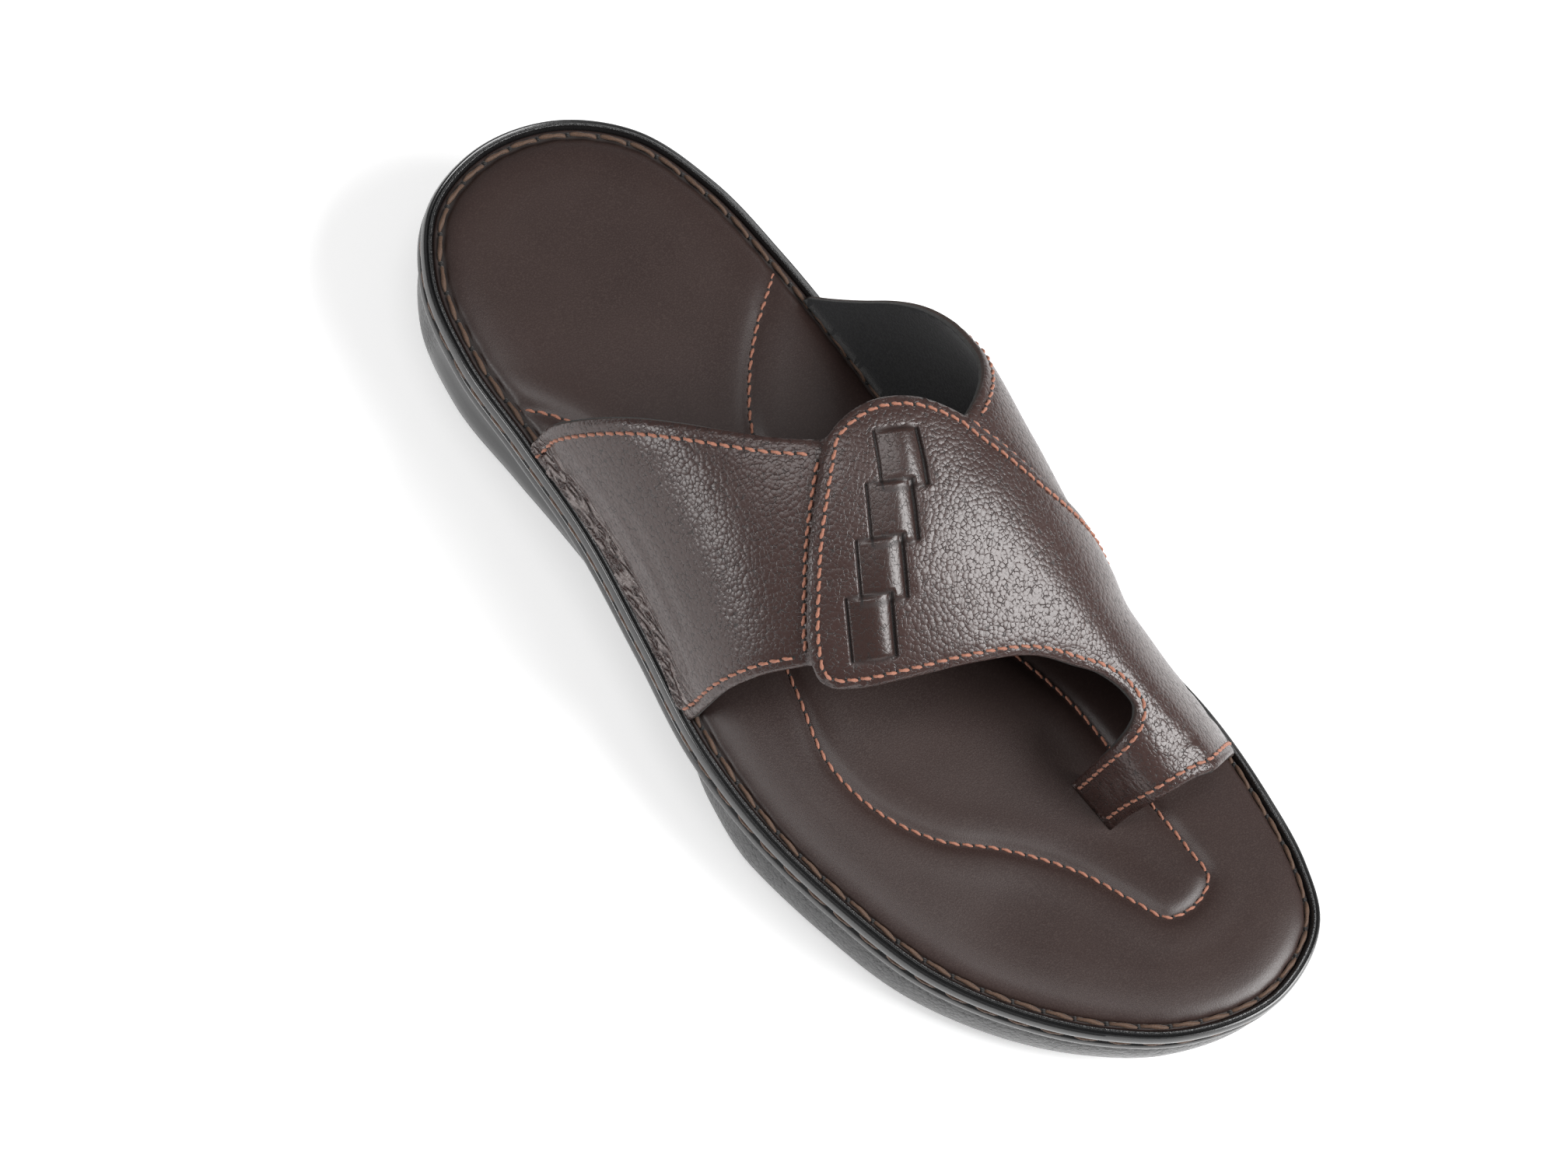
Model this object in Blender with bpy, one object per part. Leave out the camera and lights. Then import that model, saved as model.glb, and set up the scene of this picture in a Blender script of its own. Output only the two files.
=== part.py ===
"""Men's toe-ring chappal for the right foot: straps on a moulded wedge cup sole.

While it is modelled the shoe lies in millimetres, with y from the heel to the toe, x to
the outer side (the little toe) and z up from the floor. Each piece is then set down in
metres, centred on the sole's plan, with the toe towards +Y and the outer side at +X.
"""
import bmesh
import bpy
import numpy as np
from mathutils import Vector
from mathutils.geometry import delaunay_2d_cdt

MM = 0.001
SAME_POINT = 1e-7
CURVE_SAMPLES = 24

# Plan of the welt line, the stitched line round the footbed: station, inner side, outer side
PLAN = [
    (6.0, -16.6, 19.5),
    (18.0, -29.8, 29.9),
    (38.0, -36.5, 36.4),
    (62.0, -38.2, 38.3),
    (90.0, -38.2, 40.6),
    (118.0, -37.5, 46.0),
    (145.0, -39.7, 51.6),
    (170.0, -43.8, 52.4),
    (195.0, -47.3, 49.5),
    (218.0, -48.1, 44.2),
    (238.0, -44.8, 34.5),
    (255.0, -39.8, 21.5),
    (266.0, -33.2, 8.6),
]
HEEL_TIP = (3.0, 1.3)
TOE_TIP = (-15.2, 273.0)
PERIMETER_POINTS = 96

# Side view, as station and value: welt line over the floor, underside over the floor
WELT_HEIGHT = [(-5, 34.2), (0, 34.0), (60, 32.5), (120, 28.5), (180, 25.0), (215, 25.0),
               (245, 27.5), (275, 32.0), (285, 34.0)]
UNDERSIDE = [(-5, 5.0), (0, 3.4), (10, 1.2), (22, 0.0), (85, 0.0), (118, 1.8), (150, 0.0),
             (205, 0.0), (240, 2.6), (275, 8.5), (285, 11.0)]
# How far the lower wall is drawn in under the beads, and how hollow its heel panels are
TUCK = [(-5, 2.0), (40, 2.5), (80, 5.0), (115, 7.5), (138, 6.0), (154, 2.5), (172, 0.0),
        (285, 0.0)]
SCOOP = [(-5, 0.0), (12, 0.0), (40, 2.0), (110, 2.0), (135, 0.5), (150, 0.0), (285, 0.0)]

# Side wall of the sole from the cup floor out over the lip and down to the tread.
# Reach is measured outwards from the welt line; tuck and scoop are shares of the tables
# above; a row lies its lift over the welt line, or, by its floor share, over the underside.
SIDE_ROWS = [
    # name, reach, tuck, scoop, floor share, lift
    ("cup floor", 2.1, 0.0, 0.0, 0.0, -4.3),
    ("lip inside", 2.1, 0.0, 0.0, 0.0, 0.3),
    ("lip top", 2.6, 0.0, 0.0, 0.0, 0.9),
    ("bead top", 3.7, 0.0, 0.0, 0.0, 0.8),
    ("bead full", 4.5, 0.0, 0.0, 0.0, -0.9),
    ("bead foot", 4.4, 0.0, 0.0, 0.0, -2.8),
    ("groove top", 3.4, 0.0, 0.0, 0.0, -3.4),
    ("groove foot", 3.4, 0.0, 0.0, 0.0, -5.2),
    ("second bead top", 4.3, 0.0, 0.0, 0.0, -5.8),
    ("second bead full", 4.7, 0.0, 0.0, 0.0, -7.6),
    ("second bead foot", 4.2, 0.0, 0.0, 0.0, -9.2),
    ("step", 3.2, 0.3, 0.2, 0.0, -9.8),
    ("hollow", 4.0, 0.9, 1.0, 0.5, 0.0),
    ("bolster full", 4.6, 1.0, 0.0, 1.0, 8.0),
    ("bolster low", 3.6, 1.0, 0.0, 1.0, 3.6),
    ("bolster turn", 1.2, 1.0, 0.0, 1.0, 1.1),
    ("tread edge", -2.2, 1.0, 0.0, 1.0, 0.4),
]
CUP_ROW = SIDE_ROWS[0]

# Tread pads: first station, last station, whether the lengthwise divider splits the row
TREAD_ROWS = [
    (9.0, 56.0, False),
    (61.0, 84.0, False),
    (89.0, 112.0, True),
    (116.0, 139.0, True),
    (143.0, 166.0, True),
    (170.0, 193.0, True),
    (197.0, 218.0, True),
    (222.0, 243.0, True),
    (247.0, 270.0, True),
]
TREAD_BORDER = 6.0
TREAD_DIVIDER = 4.4
# The divider follows the sole's middle, found in a short window, as far as this station
MIDDLE_WINDOW = 10.0
DIVIDER_LAST = 258.0
# Nested outlines of one pad: how far inside the frame's edge, height over the underside
PAD_LOOPS = [(0.0, 0.4), (1.3, 2.2), (2.6, 0.0)]

# Footbed from its lower edge over the stitched flange up on to the pad: reach, lift
PAD_HEIGHT = 3.0
FOOTBED_ROWS = [
    # name, reach from the welt line, lift over it
    ("lower edge", 1.8, -4.0),
    ("flange edge", 1.8, -0.7),
    ("flange top", 1.4, -0.1),
    ("welt line", 0.0, 0.0),
    ("pad foot", -1.9, -0.3),
    ("pad rise", -3.4, 0.9),
    ("pad shoulder", -6.5, 2.3),
    ("pad top", -12.0, PAD_HEIGHT),
]
INNER_GRID = 15.0
INNER_MARGIN = 18.0

# Arched sections of the straps, from the inner foot over the ridge to the outer foot.
# Toe share moves the outer foot from the sole's edge to the place between the toes.
ARCH = [
    # station, ridge x, ridge height over the welt line, inner bulge, outer bulge, toe share
    (55.0, -4.0, 57.0, 11.0, 4.0, 0.0),
    (90.0, -6.0, 61.0, 17.0, 4.0, 0.0),
    (115.0, -8.0, 61.0, 17.0, 4.0, 0.0),
    (140.0, -11.0, 58.0, 12.0, 4.0, 0.0),
    (165.0, -15.0, 51.0, 5.0, 4.0, 0.0),
    (188.0, -21.0, 42.0, -1.5, 2.0, 0.12),
    (205.5, -26.5, 34.0, -3.0, 1.0, 1.0),
    (228.0, -30.0, 27.5, -3.5, 0.0, 1.0),
    (255.0, -30.0, 26.0, -3.5, 0.0, 1.0),
]
# How far outside the welt line the vamp's own surface comes down, as station and reach: the
# thinner side straps start further in on it, so that every strap meets the lip of the sole
FOOT_REACH = [(55, 3.3), (174, 3.3), (184.4, 1.8), (255, 1.8)]
BETWEEN_TOES_X = -10.5
STRAP_LIFT = 0.35

# Leather and lining together, and how far the vamp stands over the side straps
WALL = 3.7
VAMP_STEP = 1.5
STEP_RUN = 0.6

# Strap outlines as station and turn: turn 0 at the inner foot, 1 on the ridge, 2 outside
OUTER_REAR = [(64, 2.0), (65.5, 1.84), (71, 1.69), (80, 1.53), (88, 1.43), (97, 1.33),
              (106, 1.235), (113.2, 1.15)]
VAMP_TOP = [(113.6, 1.135), (112.6, 1.09), (112.5, 1.04), (113.5, 0.99), (115.5, 0.95),
            (118.5, 0.91), (123, 0.87), (128.5, 0.83)]
INNER_COLLAR = [(128.6, 0.80), (126.5, 0.73), (121.5, 0.61), (116, 0.52), (109, 0.45),
                (103, 0.37), (97, 0.29), (91, 0.205), (85, 0.12), (79, 0.05), (74, 0.0)]
VAMP_INNER_EDGE = [(128.5, 0.83), (133, 0.81), (138.5, 0.775), (144, 0.74), (149.5, 0.695),
                   (154.5, 0.635), (163, 0.49), (172, 0.31), (180, 0.14), (185, 0.0)]
RING_FRONT = [(226, 0.0), (226, 0.4), (226.5, 0.78), (226.5, 0.96), (225, 1.16), (223.5, 1.39),
              (222.5, 1.59), (221.5, 1.80), (221, 2.0)]
WINDOW = [(206.5, 2.0), (207, 1.72), (207.2, 1.48), (206.8, 1.33), (205.5, 1.20), (203, 1.10),
          (199, 1.05), (194, 1.04), (188.5, 1.06), (180, 1.11), (173, 1.20), (167, 1.305),
          (161, 1.41), (157.5, 1.455), (154, 1.472), (150.5, 1.465)]
VAMP_OUTER_EDGE = [(113.6, 1.135), (121, 1.22), (130, 1.31), (138, 1.375), (145, 1.43),
                   (150.5, 1.465)]
OUTER_FRONT = [(150.0, 1.478), (144.5, 1.59), (141, 1.71), (139, 1.88), (138, 2.0)]

# Woven ladder on the vamp: pillow squares stepping down and outwards
WEAVE_COUNT = 4
WEAVE_FIRST = (127.5, 1.04)
WEAVE_STEP = (8.4, 0.090)
WEAVE_ACROSS = (2.5, -0.040)
WEAVE_ALONG = (4.7, 0.028)
WEAVE_RISE = 1.0
WEAVE_FOOT_SHARE = 0.94
WEAVE_TOP_SHARE = 0.66
WEAVE_PITCH = 2.0

# Lengths on the leather: one turn, point spacing, and the short steps that find its slope
TURN_LENGTH = 80.0
STATION_STEP = 0.5
TURN_STEP = 0.004
TURN_END = 0.01
EDGE_PITCH = 4.5
STRAP_GRID = 6.5
STRAP_GRID_MARGIN = 2.8


def along(table, station):
    """Smooth curve without overshoot through a short table of (station, value) rows."""
    knots, values = np.array(table, float).T
    run = np.diff(knots)
    slope = np.diff(values) / run
    tangent = np.zeros_like(values)
    same_way = slope[:-1] * slope[1:] > 0
    before = slope[:-1][same_way]
    after = slope[1:][same_way]
    tangent[1:-1][same_way] = 2 * before * after / (before + after)
    tangent[0], tangent[-1] = slope[0], slope[-1]
    station = np.clip(np.asarray(station, float), knots[0], knots[-1])
    i = np.clip(np.searchsorted(knots, station) - 1, 0, len(run) - 1)
    t = (station - knots[i]) / run[i]
    start = values[i] * (1 + 2 * t) * (1 - t) ** 2 + tangent[i] * run[i] * t * (1 - t) ** 2
    end = values[i + 1] * t * t * (3 - 2 * t) + tangent[i + 1] * run[i] * t * t * (t - 1)
    return start + end


def smooth_path(points, pitch=None, count=None, closed=False):
    """Evenly spaced points on a smooth curve through hand-set points."""
    points = np.array(points, float)
    if closed:
        points = np.vstack([points[-1:], points, points[:2]])
    else:
        before = 2 * points[:1] - points[1:2]
        after = 2 * points[-1:] - points[-2:-1]
        points = np.vstack([before, points, after])
    run = np.linalg.norm(np.diff(points, axis=0), axis=1)[:, None]
    slope = np.diff(points, axis=0) / run
    tangent = (slope[:-1] * run[1:] + slope[1:] * run[:-1]) / (run[1:] + run[:-1])
    t = np.linspace(0, 1, CURVE_SAMPLES, endpoint=False)[:, None]
    pieces = []
    for i in range(1, len(points) - 2):
        a, b, h = points[i], points[i + 1], run[i]
        start = a * (1 + 2 * t) * (1 - t) ** 2 + tangent[i - 1] * h * t * (1 - t) ** 2
        end = b * t * t * (3 - 2 * t) + tangent[i] * h * t * t * (t - 1)
        pieces.append(start + end)
    dense = np.vstack(pieces + [points[-2:-1]])
    length = np.append(0, np.cumsum(np.linalg.norm(np.diff(dense, axis=0), axis=1)))
    if count is None:
        count = max(2, int(round(length[-1] / pitch)) + 1)
    where = np.linspace(0, length[-1], count, endpoint=not closed)
    return np.column_stack([np.interp(where, length, dense[:, k]) for k in range(2)])


def welt_line():
    """Closed plan of the welt line, from the heel round the outer side."""
    outer = [(row[2], row[0]) for row in PLAN]
    inner = [(row[1], row[0]) for row in reversed(PLAN)]
    return smooth_path([HEEL_TIP] + outer + [TOE_TIP] + inner, count=PERIMETER_POINTS, closed=True)


def offset(loop, reach):
    """Plan loop moved outwards by a reach, one value or one for each point."""
    direction = np.roll(loop, -1, axis=0) - np.roll(loop, 1, axis=0)
    direction /= np.linalg.norm(direction, axis=1)[:, None]
    outward = np.column_stack([direction[:, 1], -direction[:, 0]])
    return loop + outward * np.broadcast_to(reach, len(loop))[:, None]


def inside(points, loop):
    """Which points lie inside a closed plan loop."""
    points = np.asarray(points, float)
    result = np.zeros(len(points), bool)
    x, y = points.T
    for (x0, y0), (x1, y1) in zip(loop, np.roll(loop, -1, axis=0)):
        if y0 != y1:
            crossing = (y0 > y) != (y1 > y)
            result ^= crossing & (x < x0 + (y - y0) * (x1 - x0) / (y1 - y0))
    return result


def loop_edges(first, count):
    return [(first + i, first + (i + 1) % count) for i in range(count)]


def triangulate(points, edges, rim_count):
    """Triangles inside the loop of the first points, kept along the given edges."""
    points = np.asarray(points, float)
    flat = [Vector(point) for point in points]
    _, _, faces, origin, _, _ = delaunay_2d_cdt(flat, edges, [], 0, SAME_POINT, True)
    corners = np.array([[origin[corner][0] for corner in face] for face in faces])
    return corners[inside(points[corners].mean(axis=1), points[:rim_count])].tolist()


def plan_centre():
    widest = offset(welt_line(), max(row[1] for row in SIDE_ROWS))
    return (widest.min(axis=0) + widest.max(axis=0)) / 2


def material(name, colour, roughness):
    made = bpy.data.materials.new(name)
    made.use_nodes = True
    shader = made.node_tree.nodes["Principled BSDF"]
    shader.inputs["Base Color"].default_value = (*colour, 1.0)
    shader.inputs["Roughness"].default_value = roughness
    shader.inputs["Metallic"].default_value = 0.0
    return made


def piece(name, points, faces, finish):
    """One closed body from shoe points in millimetres, set down in metres."""
    centre = plan_centre()
    mesh = bpy.data.meshes.new(name)
    shift = np.array([centre[0], centre[1], 0.0])
    mesh.from_pydata(((np.array(points) - shift) * MM).tolist(), [], faces)
    shape = bmesh.new()
    shape.from_mesh(mesh)
    bmesh.ops.recalc_face_normals(shape, faces=shape.faces)
    bmesh.ops.triangulate(shape, faces=shape.faces)
    shape.to_mesh(mesh)
    shape.free()
    mesh.materials.append(finish)
    mesh.shade_smooth()
    made = bpy.data.objects.new(name, mesh)
    bpy.context.collection.objects.link(made)
    return made


def bridge(first, second, count):
    """Quads between two closed rings of equal count."""
    return [(first + i, first + (i + 1) % count, second + (i + 1) % count, second + i)
            for i in range(count)]


def side_ring(loop, row):
    """One ring of the sole's side, at the row's reach and height."""
    _, reach, tuck, scoop, floor_share, lift = row
    station = loop[:, 1]
    drawn_in = tuck * along(TUCK, station) + scoop * along(SCOOP, station)
    plan = offset(loop, reach - drawn_in)
    welt = along(WELT_HEIGHT, plan[:, 1])
    under = along(UNDERSIDE, plan[:, 1])
    return np.column_stack([plan, welt * (1 - floor_share) + under * floor_share + lift])


def inner_points(loop):
    """Plan points of the broad middle, well inside the welt line."""
    edge = offset(loop, -INNER_MARGIN)
    low, high = edge.min(axis=0), edge.max(axis=0)
    x, y = np.meshgrid(np.arange(low[0], high[0], INNER_GRID), np.arange(low[1], high[1], INNER_GRID))
    grid = np.column_stack([x.ravel(), y.ravel()])
    return grid[inside(grid, edge)]


def clip(loop, point, normal):
    """Part of a plan loop on the side of a line that its normal points to."""
    kept = []
    side = (loop - point) @ normal
    for i in range(len(loop)):
        j = (i + 1) % len(loop)
        if side[i] >= 0:
            kept.append(loop[i])
        if side[i] * side[j] < 0:
            kept.append(loop[i] + (loop[j] - loop[i]) * side[i] / (side[i] - side[j]))
    return np.array(kept)


def without_near_points(loop, least=1.0):
    """Plan loop without points that crowd the one before."""
    kept = [loop[0]]
    for point in loop[1:]:
        if np.linalg.norm(point - kept[-1]) > least:
            kept.append(point)
    if np.linalg.norm(kept[-1] - kept[0]) <= least:
        kept.pop()
    return np.array(kept)


def middle_x(loop, station):
    """Middle of a plan loop across the shoe at a station."""
    crossing = np.abs(loop[:, 1] - station) < MIDDLE_WINDOW
    x = loop[crossing][:, 0]
    return (x.min() + x.max()) / 2


def pad_outline(tread_edge, first, last, side, margin):
    """Outline of one tread pad, inside the border and its row, on one side of the divider."""
    shape = offset(tread_edge, -TREAD_BORDER - margin)
    shape = clip(shape, np.array([0.0, first + margin]), np.array([0.0, 1.0]))
    shape = clip(shape, np.array([0.0, last - margin]), np.array([0.0, -1.0]))
    if side:
        low = np.array([middle_x(tread_edge, first), first])
        high = np.array([middle_x(tread_edge, min(last, DIVIDER_LAST)), last])
        line = (high - low) / np.linalg.norm(high - low)
        normal = np.array([line[1], -line[0]]) * side
        shape = clip(shape, low + normal * (TREAD_DIVIDER / 2 + margin), normal)
    return without_near_points(shape)


def tread(ring):
    """Bottom of the sole inside its lower edge: land, grooves and raised pads."""
    points = [tuple(point) for point in ring]
    edges = loop_edges(0, len(ring))
    tread_edge = ring[:, :2]
    for first, last, split in TREAD_ROWS:
        for side in ((-1, 1) if split else (0,)):
            for margin, rise in PAD_LOOPS:
                shape = pad_outline(tread_edge, first, last, side, margin)
                edges += loop_edges(len(points), len(shape))
                height = along(UNDERSIDE, shape[:, 1]) + rise
                points += [(x, y, z) for (x, y), z in zip(shape, height)]
    return points, triangulate([point[:2] for point in points], edges, len(ring))


def make_outsole():
    loop = welt_line()
    count = len(loop)
    points = []
    faces = []
    for k, row in enumerate(SIDE_ROWS):
        points += [tuple(point) for point in side_ring(loop, row)]
        if k:
            faces += bridge((k - 1) * count, k * count, count)
    last_ring = np.array(points[-count:])
    bottom, triangles = tread(last_ring)
    start = len(points) - count
    points += bottom[count:]
    faces += [tuple(start + corner for corner in face) for face in triangles]
    middle = inner_points(loop)
    floor = along(WELT_HEIGHT, middle[:, 1]) + CUP_ROW[-1]
    plan = np.vstack([side_ring(loop, CUP_ROW)[:, :2], middle])
    first_middle = len(points) - count
    points += [(x, y, z) for (x, y), z in zip(middle, floor)]
    for face in triangulate(plan, loop_edges(0, count), count):
        faces.append(tuple(corner if corner < count else corner + first_middle for corner in face))
    return piece("outsole", points, faces, material("outsole_rubber", (0.020, 0.020, 0.021), 0.42))


def footbed_top(station):
    """Height of the pad's broad top over the floor."""
    return along(WELT_HEIGHT, station) + PAD_HEIGHT


def make_footbed():
    loop = welt_line()
    count = len(loop)
    points = []
    faces = []
    for k, (_, reach, lift) in enumerate(FOOTBED_ROWS):
        plan = offset(loop, reach)
        height = along(WELT_HEIGHT, plan[:, 1]) + lift
        points += [(x, y, z) for (x, y), z in zip(plan, height)]
        if k:
            faces += bridge((k - 1) * count, k * count, count)
    middle = inner_points(loop)
    under_height = along(WELT_HEIGHT, middle[:, 1]) + FOOTBED_ROWS[0][2]
    for ring_start, height in ((0, under_height), ((len(FOOTBED_ROWS) - 1) * count,
                                                   footbed_top(middle[:, 1]))):
        ring = np.array(points[ring_start:ring_start + count])[:, :2]
        first_middle = len(points) - count
        points += [(x, y, z) for (x, y), z in zip(middle, height)]
        for face in triangulate(np.vstack([ring, middle]), loop_edges(0, count), count):
            faces.append(tuple(corner + (ring_start if corner < count else first_middle)
                               for corner in face))
    return piece("footbed", points, faces, material("footbed_leather", (0.060, 0.042, 0.037), 0.45))


def column(index):
    return [(row[0], row[index]) for row in ARCH]


def arch(station, turn):
    """Outer face of the vamp's own surface at a station and a turn round the arch."""
    station, turn = np.broadcast_arrays(np.asarray(station, float), np.asarray(turn, float))
    ridge_x = along(column(1), station)
    welt = along(WELT_HEIGHT, station)
    ridge_z = welt + along(column(2), station)
    toe_share = along(column(5), station)
    foot_reach = along(FOOT_REACH, station)
    inner_x = along([(row[0], row[1]) for row in PLAN], station) - foot_reach
    outer_edge_x = along([(row[0], row[2]) for row in PLAN], station) + foot_reach
    outer_x = outer_edge_x * (1 - toe_share) + BETWEEN_TOES_X * toe_share
    on_inner = turn <= 1
    climb = np.where(on_inner, turn, 2 - turn) * np.pi / 2
    foot_x = np.where(on_inner, inner_x, outer_x)
    foot_z = welt + STRAP_LIFT + np.where(on_inner, 0.0, toe_share * PAD_HEIGHT)
    bulge = np.where(on_inner, -along(column(3), station), along(column(4), station))
    x = ridge_x + (foot_x - ridge_x) * np.cos(climb) + bulge * np.sin(2 * climb)
    z = foot_z + (ridge_z - foot_z) * np.sin(climb)
    return np.stack([x, station, z], axis=-1)


def arch_normal(station, turn):
    """Outward direction of the arch."""
    turn = np.clip(turn, TURN_END, 2 - TURN_END)
    by_station = arch(station + STATION_STEP, turn) - arch(station - STATION_STEP, turn)
    by_turn = arch(station, turn + TURN_STEP) - arch(station, turn - TURN_STEP)
    normal = np.cross(by_turn, by_station)
    return normal / np.linalg.norm(normal, axis=-1, keepdims=True)


def chart(path):
    """Strap outline as lengths on the leather, station and distance from the ridge."""
    return np.array([(station, (turn - 1) * TURN_LENGTH) for station, turn in path])


def outline_path(path):
    return smooth_path(chart(path), pitch=EDGE_PITCH)


def foot_path(first, last, turn):
    count = int(round(abs(last - first) / EDGE_PITCH)) + 1
    return chart([(station, turn) for station in np.linspace(first, last, count)])


def strap_boundary():
    """Edge of all the straps together, with the level of each stretch."""
    vamp, quarter = 0.0, -VAMP_STEP
    foot_seam = VAMP_INNER_EDGE[-1][0]
    stretches = [
        (outline_path(OUTER_REAR), quarter),
        (outline_path(VAMP_TOP), vamp),
        (outline_path(INNER_COLLAR), quarter),
        (foot_path(INNER_COLLAR[-1][0], foot_seam - STEP_RUN, 0.0)[1:], quarter),
        (foot_path(foot_seam, RING_FRONT[0][0], 0.0)[:-1], vamp),
        (outline_path(RING_FRONT), vamp),
        (foot_path(RING_FRONT[-1][0], WINDOW[0][0], 2.0)[1:-1], vamp),
        (outline_path(WINDOW), vamp),
        (outline_path(OUTER_FRONT), quarter),
        (foot_path(OUTER_FRONT[-1][0], OUTER_REAR[0][0], 2.0)[1:-1], quarter),
    ]
    points = np.vstack([path for path, _ in stretches])
    levels = np.concatenate([np.full(len(path), level) for path, level in stretches])
    starts = np.cumsum([0] + [len(path) for path, _ in stretches])
    return points, levels, starts


def side_step(path, run):
    """Path moved sideways on the leather, to the left of its direction."""
    direction = np.gradient(path, axis=0)
    direction /= np.linalg.norm(direction, axis=1)[:, None]
    return path + run * np.column_stack([-direction[:, 1], direction[:, 0]])


def weave_square(index, share):
    """Corners of one pillow square of the ladder, in chart lengths."""
    centre = np.array(WEAVE_FIRST) + index * np.array(WEAVE_STEP)
    across = np.array(WEAVE_ACROSS) * share
    lengthways = np.array(WEAVE_ALONG) * share
    corners = [centre + a * across + b * lengthways for a, b in ((-1, -1), (1, -1), (1, 1), (-1, 1))]
    return chart(corners)


def distance_to_paths(points, paths):
    """Least distance from each point to any of the sampled paths."""
    marks = np.vstack(paths)
    gaps = np.linalg.norm(points[:, None, :] - marks[None, :, :], axis=2)
    return gaps.min(axis=1)


def vamp_outline():
    """Closed outline of the vamp and its toe ring on the leather."""
    foot = foot_path(VAMP_INNER_EDGE[-1][0], RING_FRONT[0][0], 0.0)
    ring_foot = foot_path(RING_FRONT[-1][0], WINDOW[0][0], 2.0)
    return np.vstack([outline_path(VAMP_TOP), outline_path(VAMP_INNER_EDGE), foot,
                      outline_path(RING_FRONT), ring_foot, outline_path(WINDOW),
                      outline_path(VAMP_OUTER_EDGE)[::-1]])


def strap_layout():
    """Plan of the straps on the leather: points, their levels and the edges between them."""
    points, levels, starts = strap_boundary()
    edges = loop_edges(0, len(points))
    lines = [points]
    seams = (
        (VAMP_OUTER_EDGE, starts[1], starts[8] - 1, starts[1] - 1, starts[8], 1.0),
        (VAMP_INNER_EDGE, starts[2] - 1, starts[4], starts[2], starts[4] - 1, -1.0),
    )
    all_points, all_levels = [points], [levels]
    total = len(points)
    for path, high_start, high_end, low_start, low_end, way in seams:
        high = outline_path(path)[1:-1]
        low = side_step(outline_path(path), way * STEP_RUN)[1:-1]
        for line, level, first, last in ((high, 0.0, high_start, high_end),
                                         (low, -VAMP_STEP, low_start, low_end)):
            chain = [first] + list(range(total, total + len(line))) + [last]
            edges += list(zip(chain[:-1], chain[1:]))
            all_points.append(line)
            all_levels.append(np.full(len(line), level))
            lines.append(line)
            total += len(line)
    for index in range(WEAVE_COUNT):
        for share, level in ((WEAVE_FOOT_SHARE, 0.0), (WEAVE_TOP_SHARE, WEAVE_RISE)):
            square = weave_square(index, share)
            edges += loop_edges(total, len(square))
            all_points.append(square)
            all_levels.append(np.full(len(square), level))
            lines.append(smooth_path(np.vstack([square, square[:1]]), pitch=WEAVE_PITCH))
            total += len(square)
    low, high = points.min(axis=0), points.max(axis=0)
    grid_y, grid_w = np.meshgrid(np.arange(low[0], high[0], STRAP_GRID),
                                 np.arange(low[1], high[1], STRAP_GRID))
    grid = np.column_stack([grid_y.ravel(), grid_w.ravel()])
    grid = grid[inside(grid, points)]
    grid = grid[distance_to_paths(grid, lines) > STRAP_GRID_MARGIN]
    on_vamp = inside(grid, vamp_outline())
    all_points.append(grid)
    all_levels.append(np.where(on_vamp, 0.0, -VAMP_STEP))
    return np.vstack(all_points), np.concatenate(all_levels), edges, len(points)


def make_upper():
    plan, levels, edges, rim_count = strap_layout()
    station = plan[:, 0]
    turn = np.clip(plan[:, 1] / TURN_LENGTH + 1, 0.0, 2.0)
    surface = arch(station, turn)
    normal = arch_normal(station, turn)
    outer = surface + normal * levels[:, None]
    inner = surface - normal * WALL
    on_foot = (turn < SAME_POINT) | (turn > 2 - SAME_POINT)
    outer[on_foot, 2] = surface[on_foot, 2]
    inner[on_foot, 2] = surface[on_foot, 2]
    total = len(plan)
    faces = []
    for a, b, c in triangulate(plan, edges, rim_count):
        faces.append((a, b, c))
        faces.append((total + c, total + b, total + a))
    for i, j in loop_edges(0, rim_count):
        faces.append((j, i, total + i, total + j))
    points = np.vstack([outer, inner])
    return piece("upper", points, faces, material("upper_leather", (0.050, 0.032, 0.027), 0.38))


def main():
    for made in list(bpy.data.objects):
        bpy.data.objects.remove(made)
    make_outsole()
    make_footbed()
    make_upper()


main()
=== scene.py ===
"""Looks of the toe-ring chappal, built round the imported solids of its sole, footbed and straps.

Shapes are worked out in shoe millimetres, with y from the heel to the toe, x to the outer
side and z up from the floor, by the same tables as the solids, and set down in metres.
"""
import math

import bmesh
import bpy
import numpy as np
from mathutils import Matrix, Vector
from mathutils.geometry import delaunay_2d_cdt


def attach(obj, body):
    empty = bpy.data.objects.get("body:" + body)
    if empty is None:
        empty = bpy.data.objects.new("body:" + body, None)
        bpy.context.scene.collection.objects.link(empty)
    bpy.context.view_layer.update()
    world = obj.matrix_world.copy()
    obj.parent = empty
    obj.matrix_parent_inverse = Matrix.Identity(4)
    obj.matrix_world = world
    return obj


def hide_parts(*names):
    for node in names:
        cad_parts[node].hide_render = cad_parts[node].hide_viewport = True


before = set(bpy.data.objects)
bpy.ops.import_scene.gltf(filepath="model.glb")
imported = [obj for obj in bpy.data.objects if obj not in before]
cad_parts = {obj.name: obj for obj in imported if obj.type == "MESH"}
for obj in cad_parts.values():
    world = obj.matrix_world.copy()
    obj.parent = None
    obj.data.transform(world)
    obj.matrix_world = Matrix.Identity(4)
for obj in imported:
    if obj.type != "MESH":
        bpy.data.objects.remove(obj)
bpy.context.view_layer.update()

MM = 0.001
SAME_POINT = 1e-7
CURVE_SAMPLES = 24
NEAREST_BLOCK = 2000
# Edges of the moulded sole stay sharp past this angle
CRISP_ANGLE = 38.0
RANDOM = np.random.default_rng(7)

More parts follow.
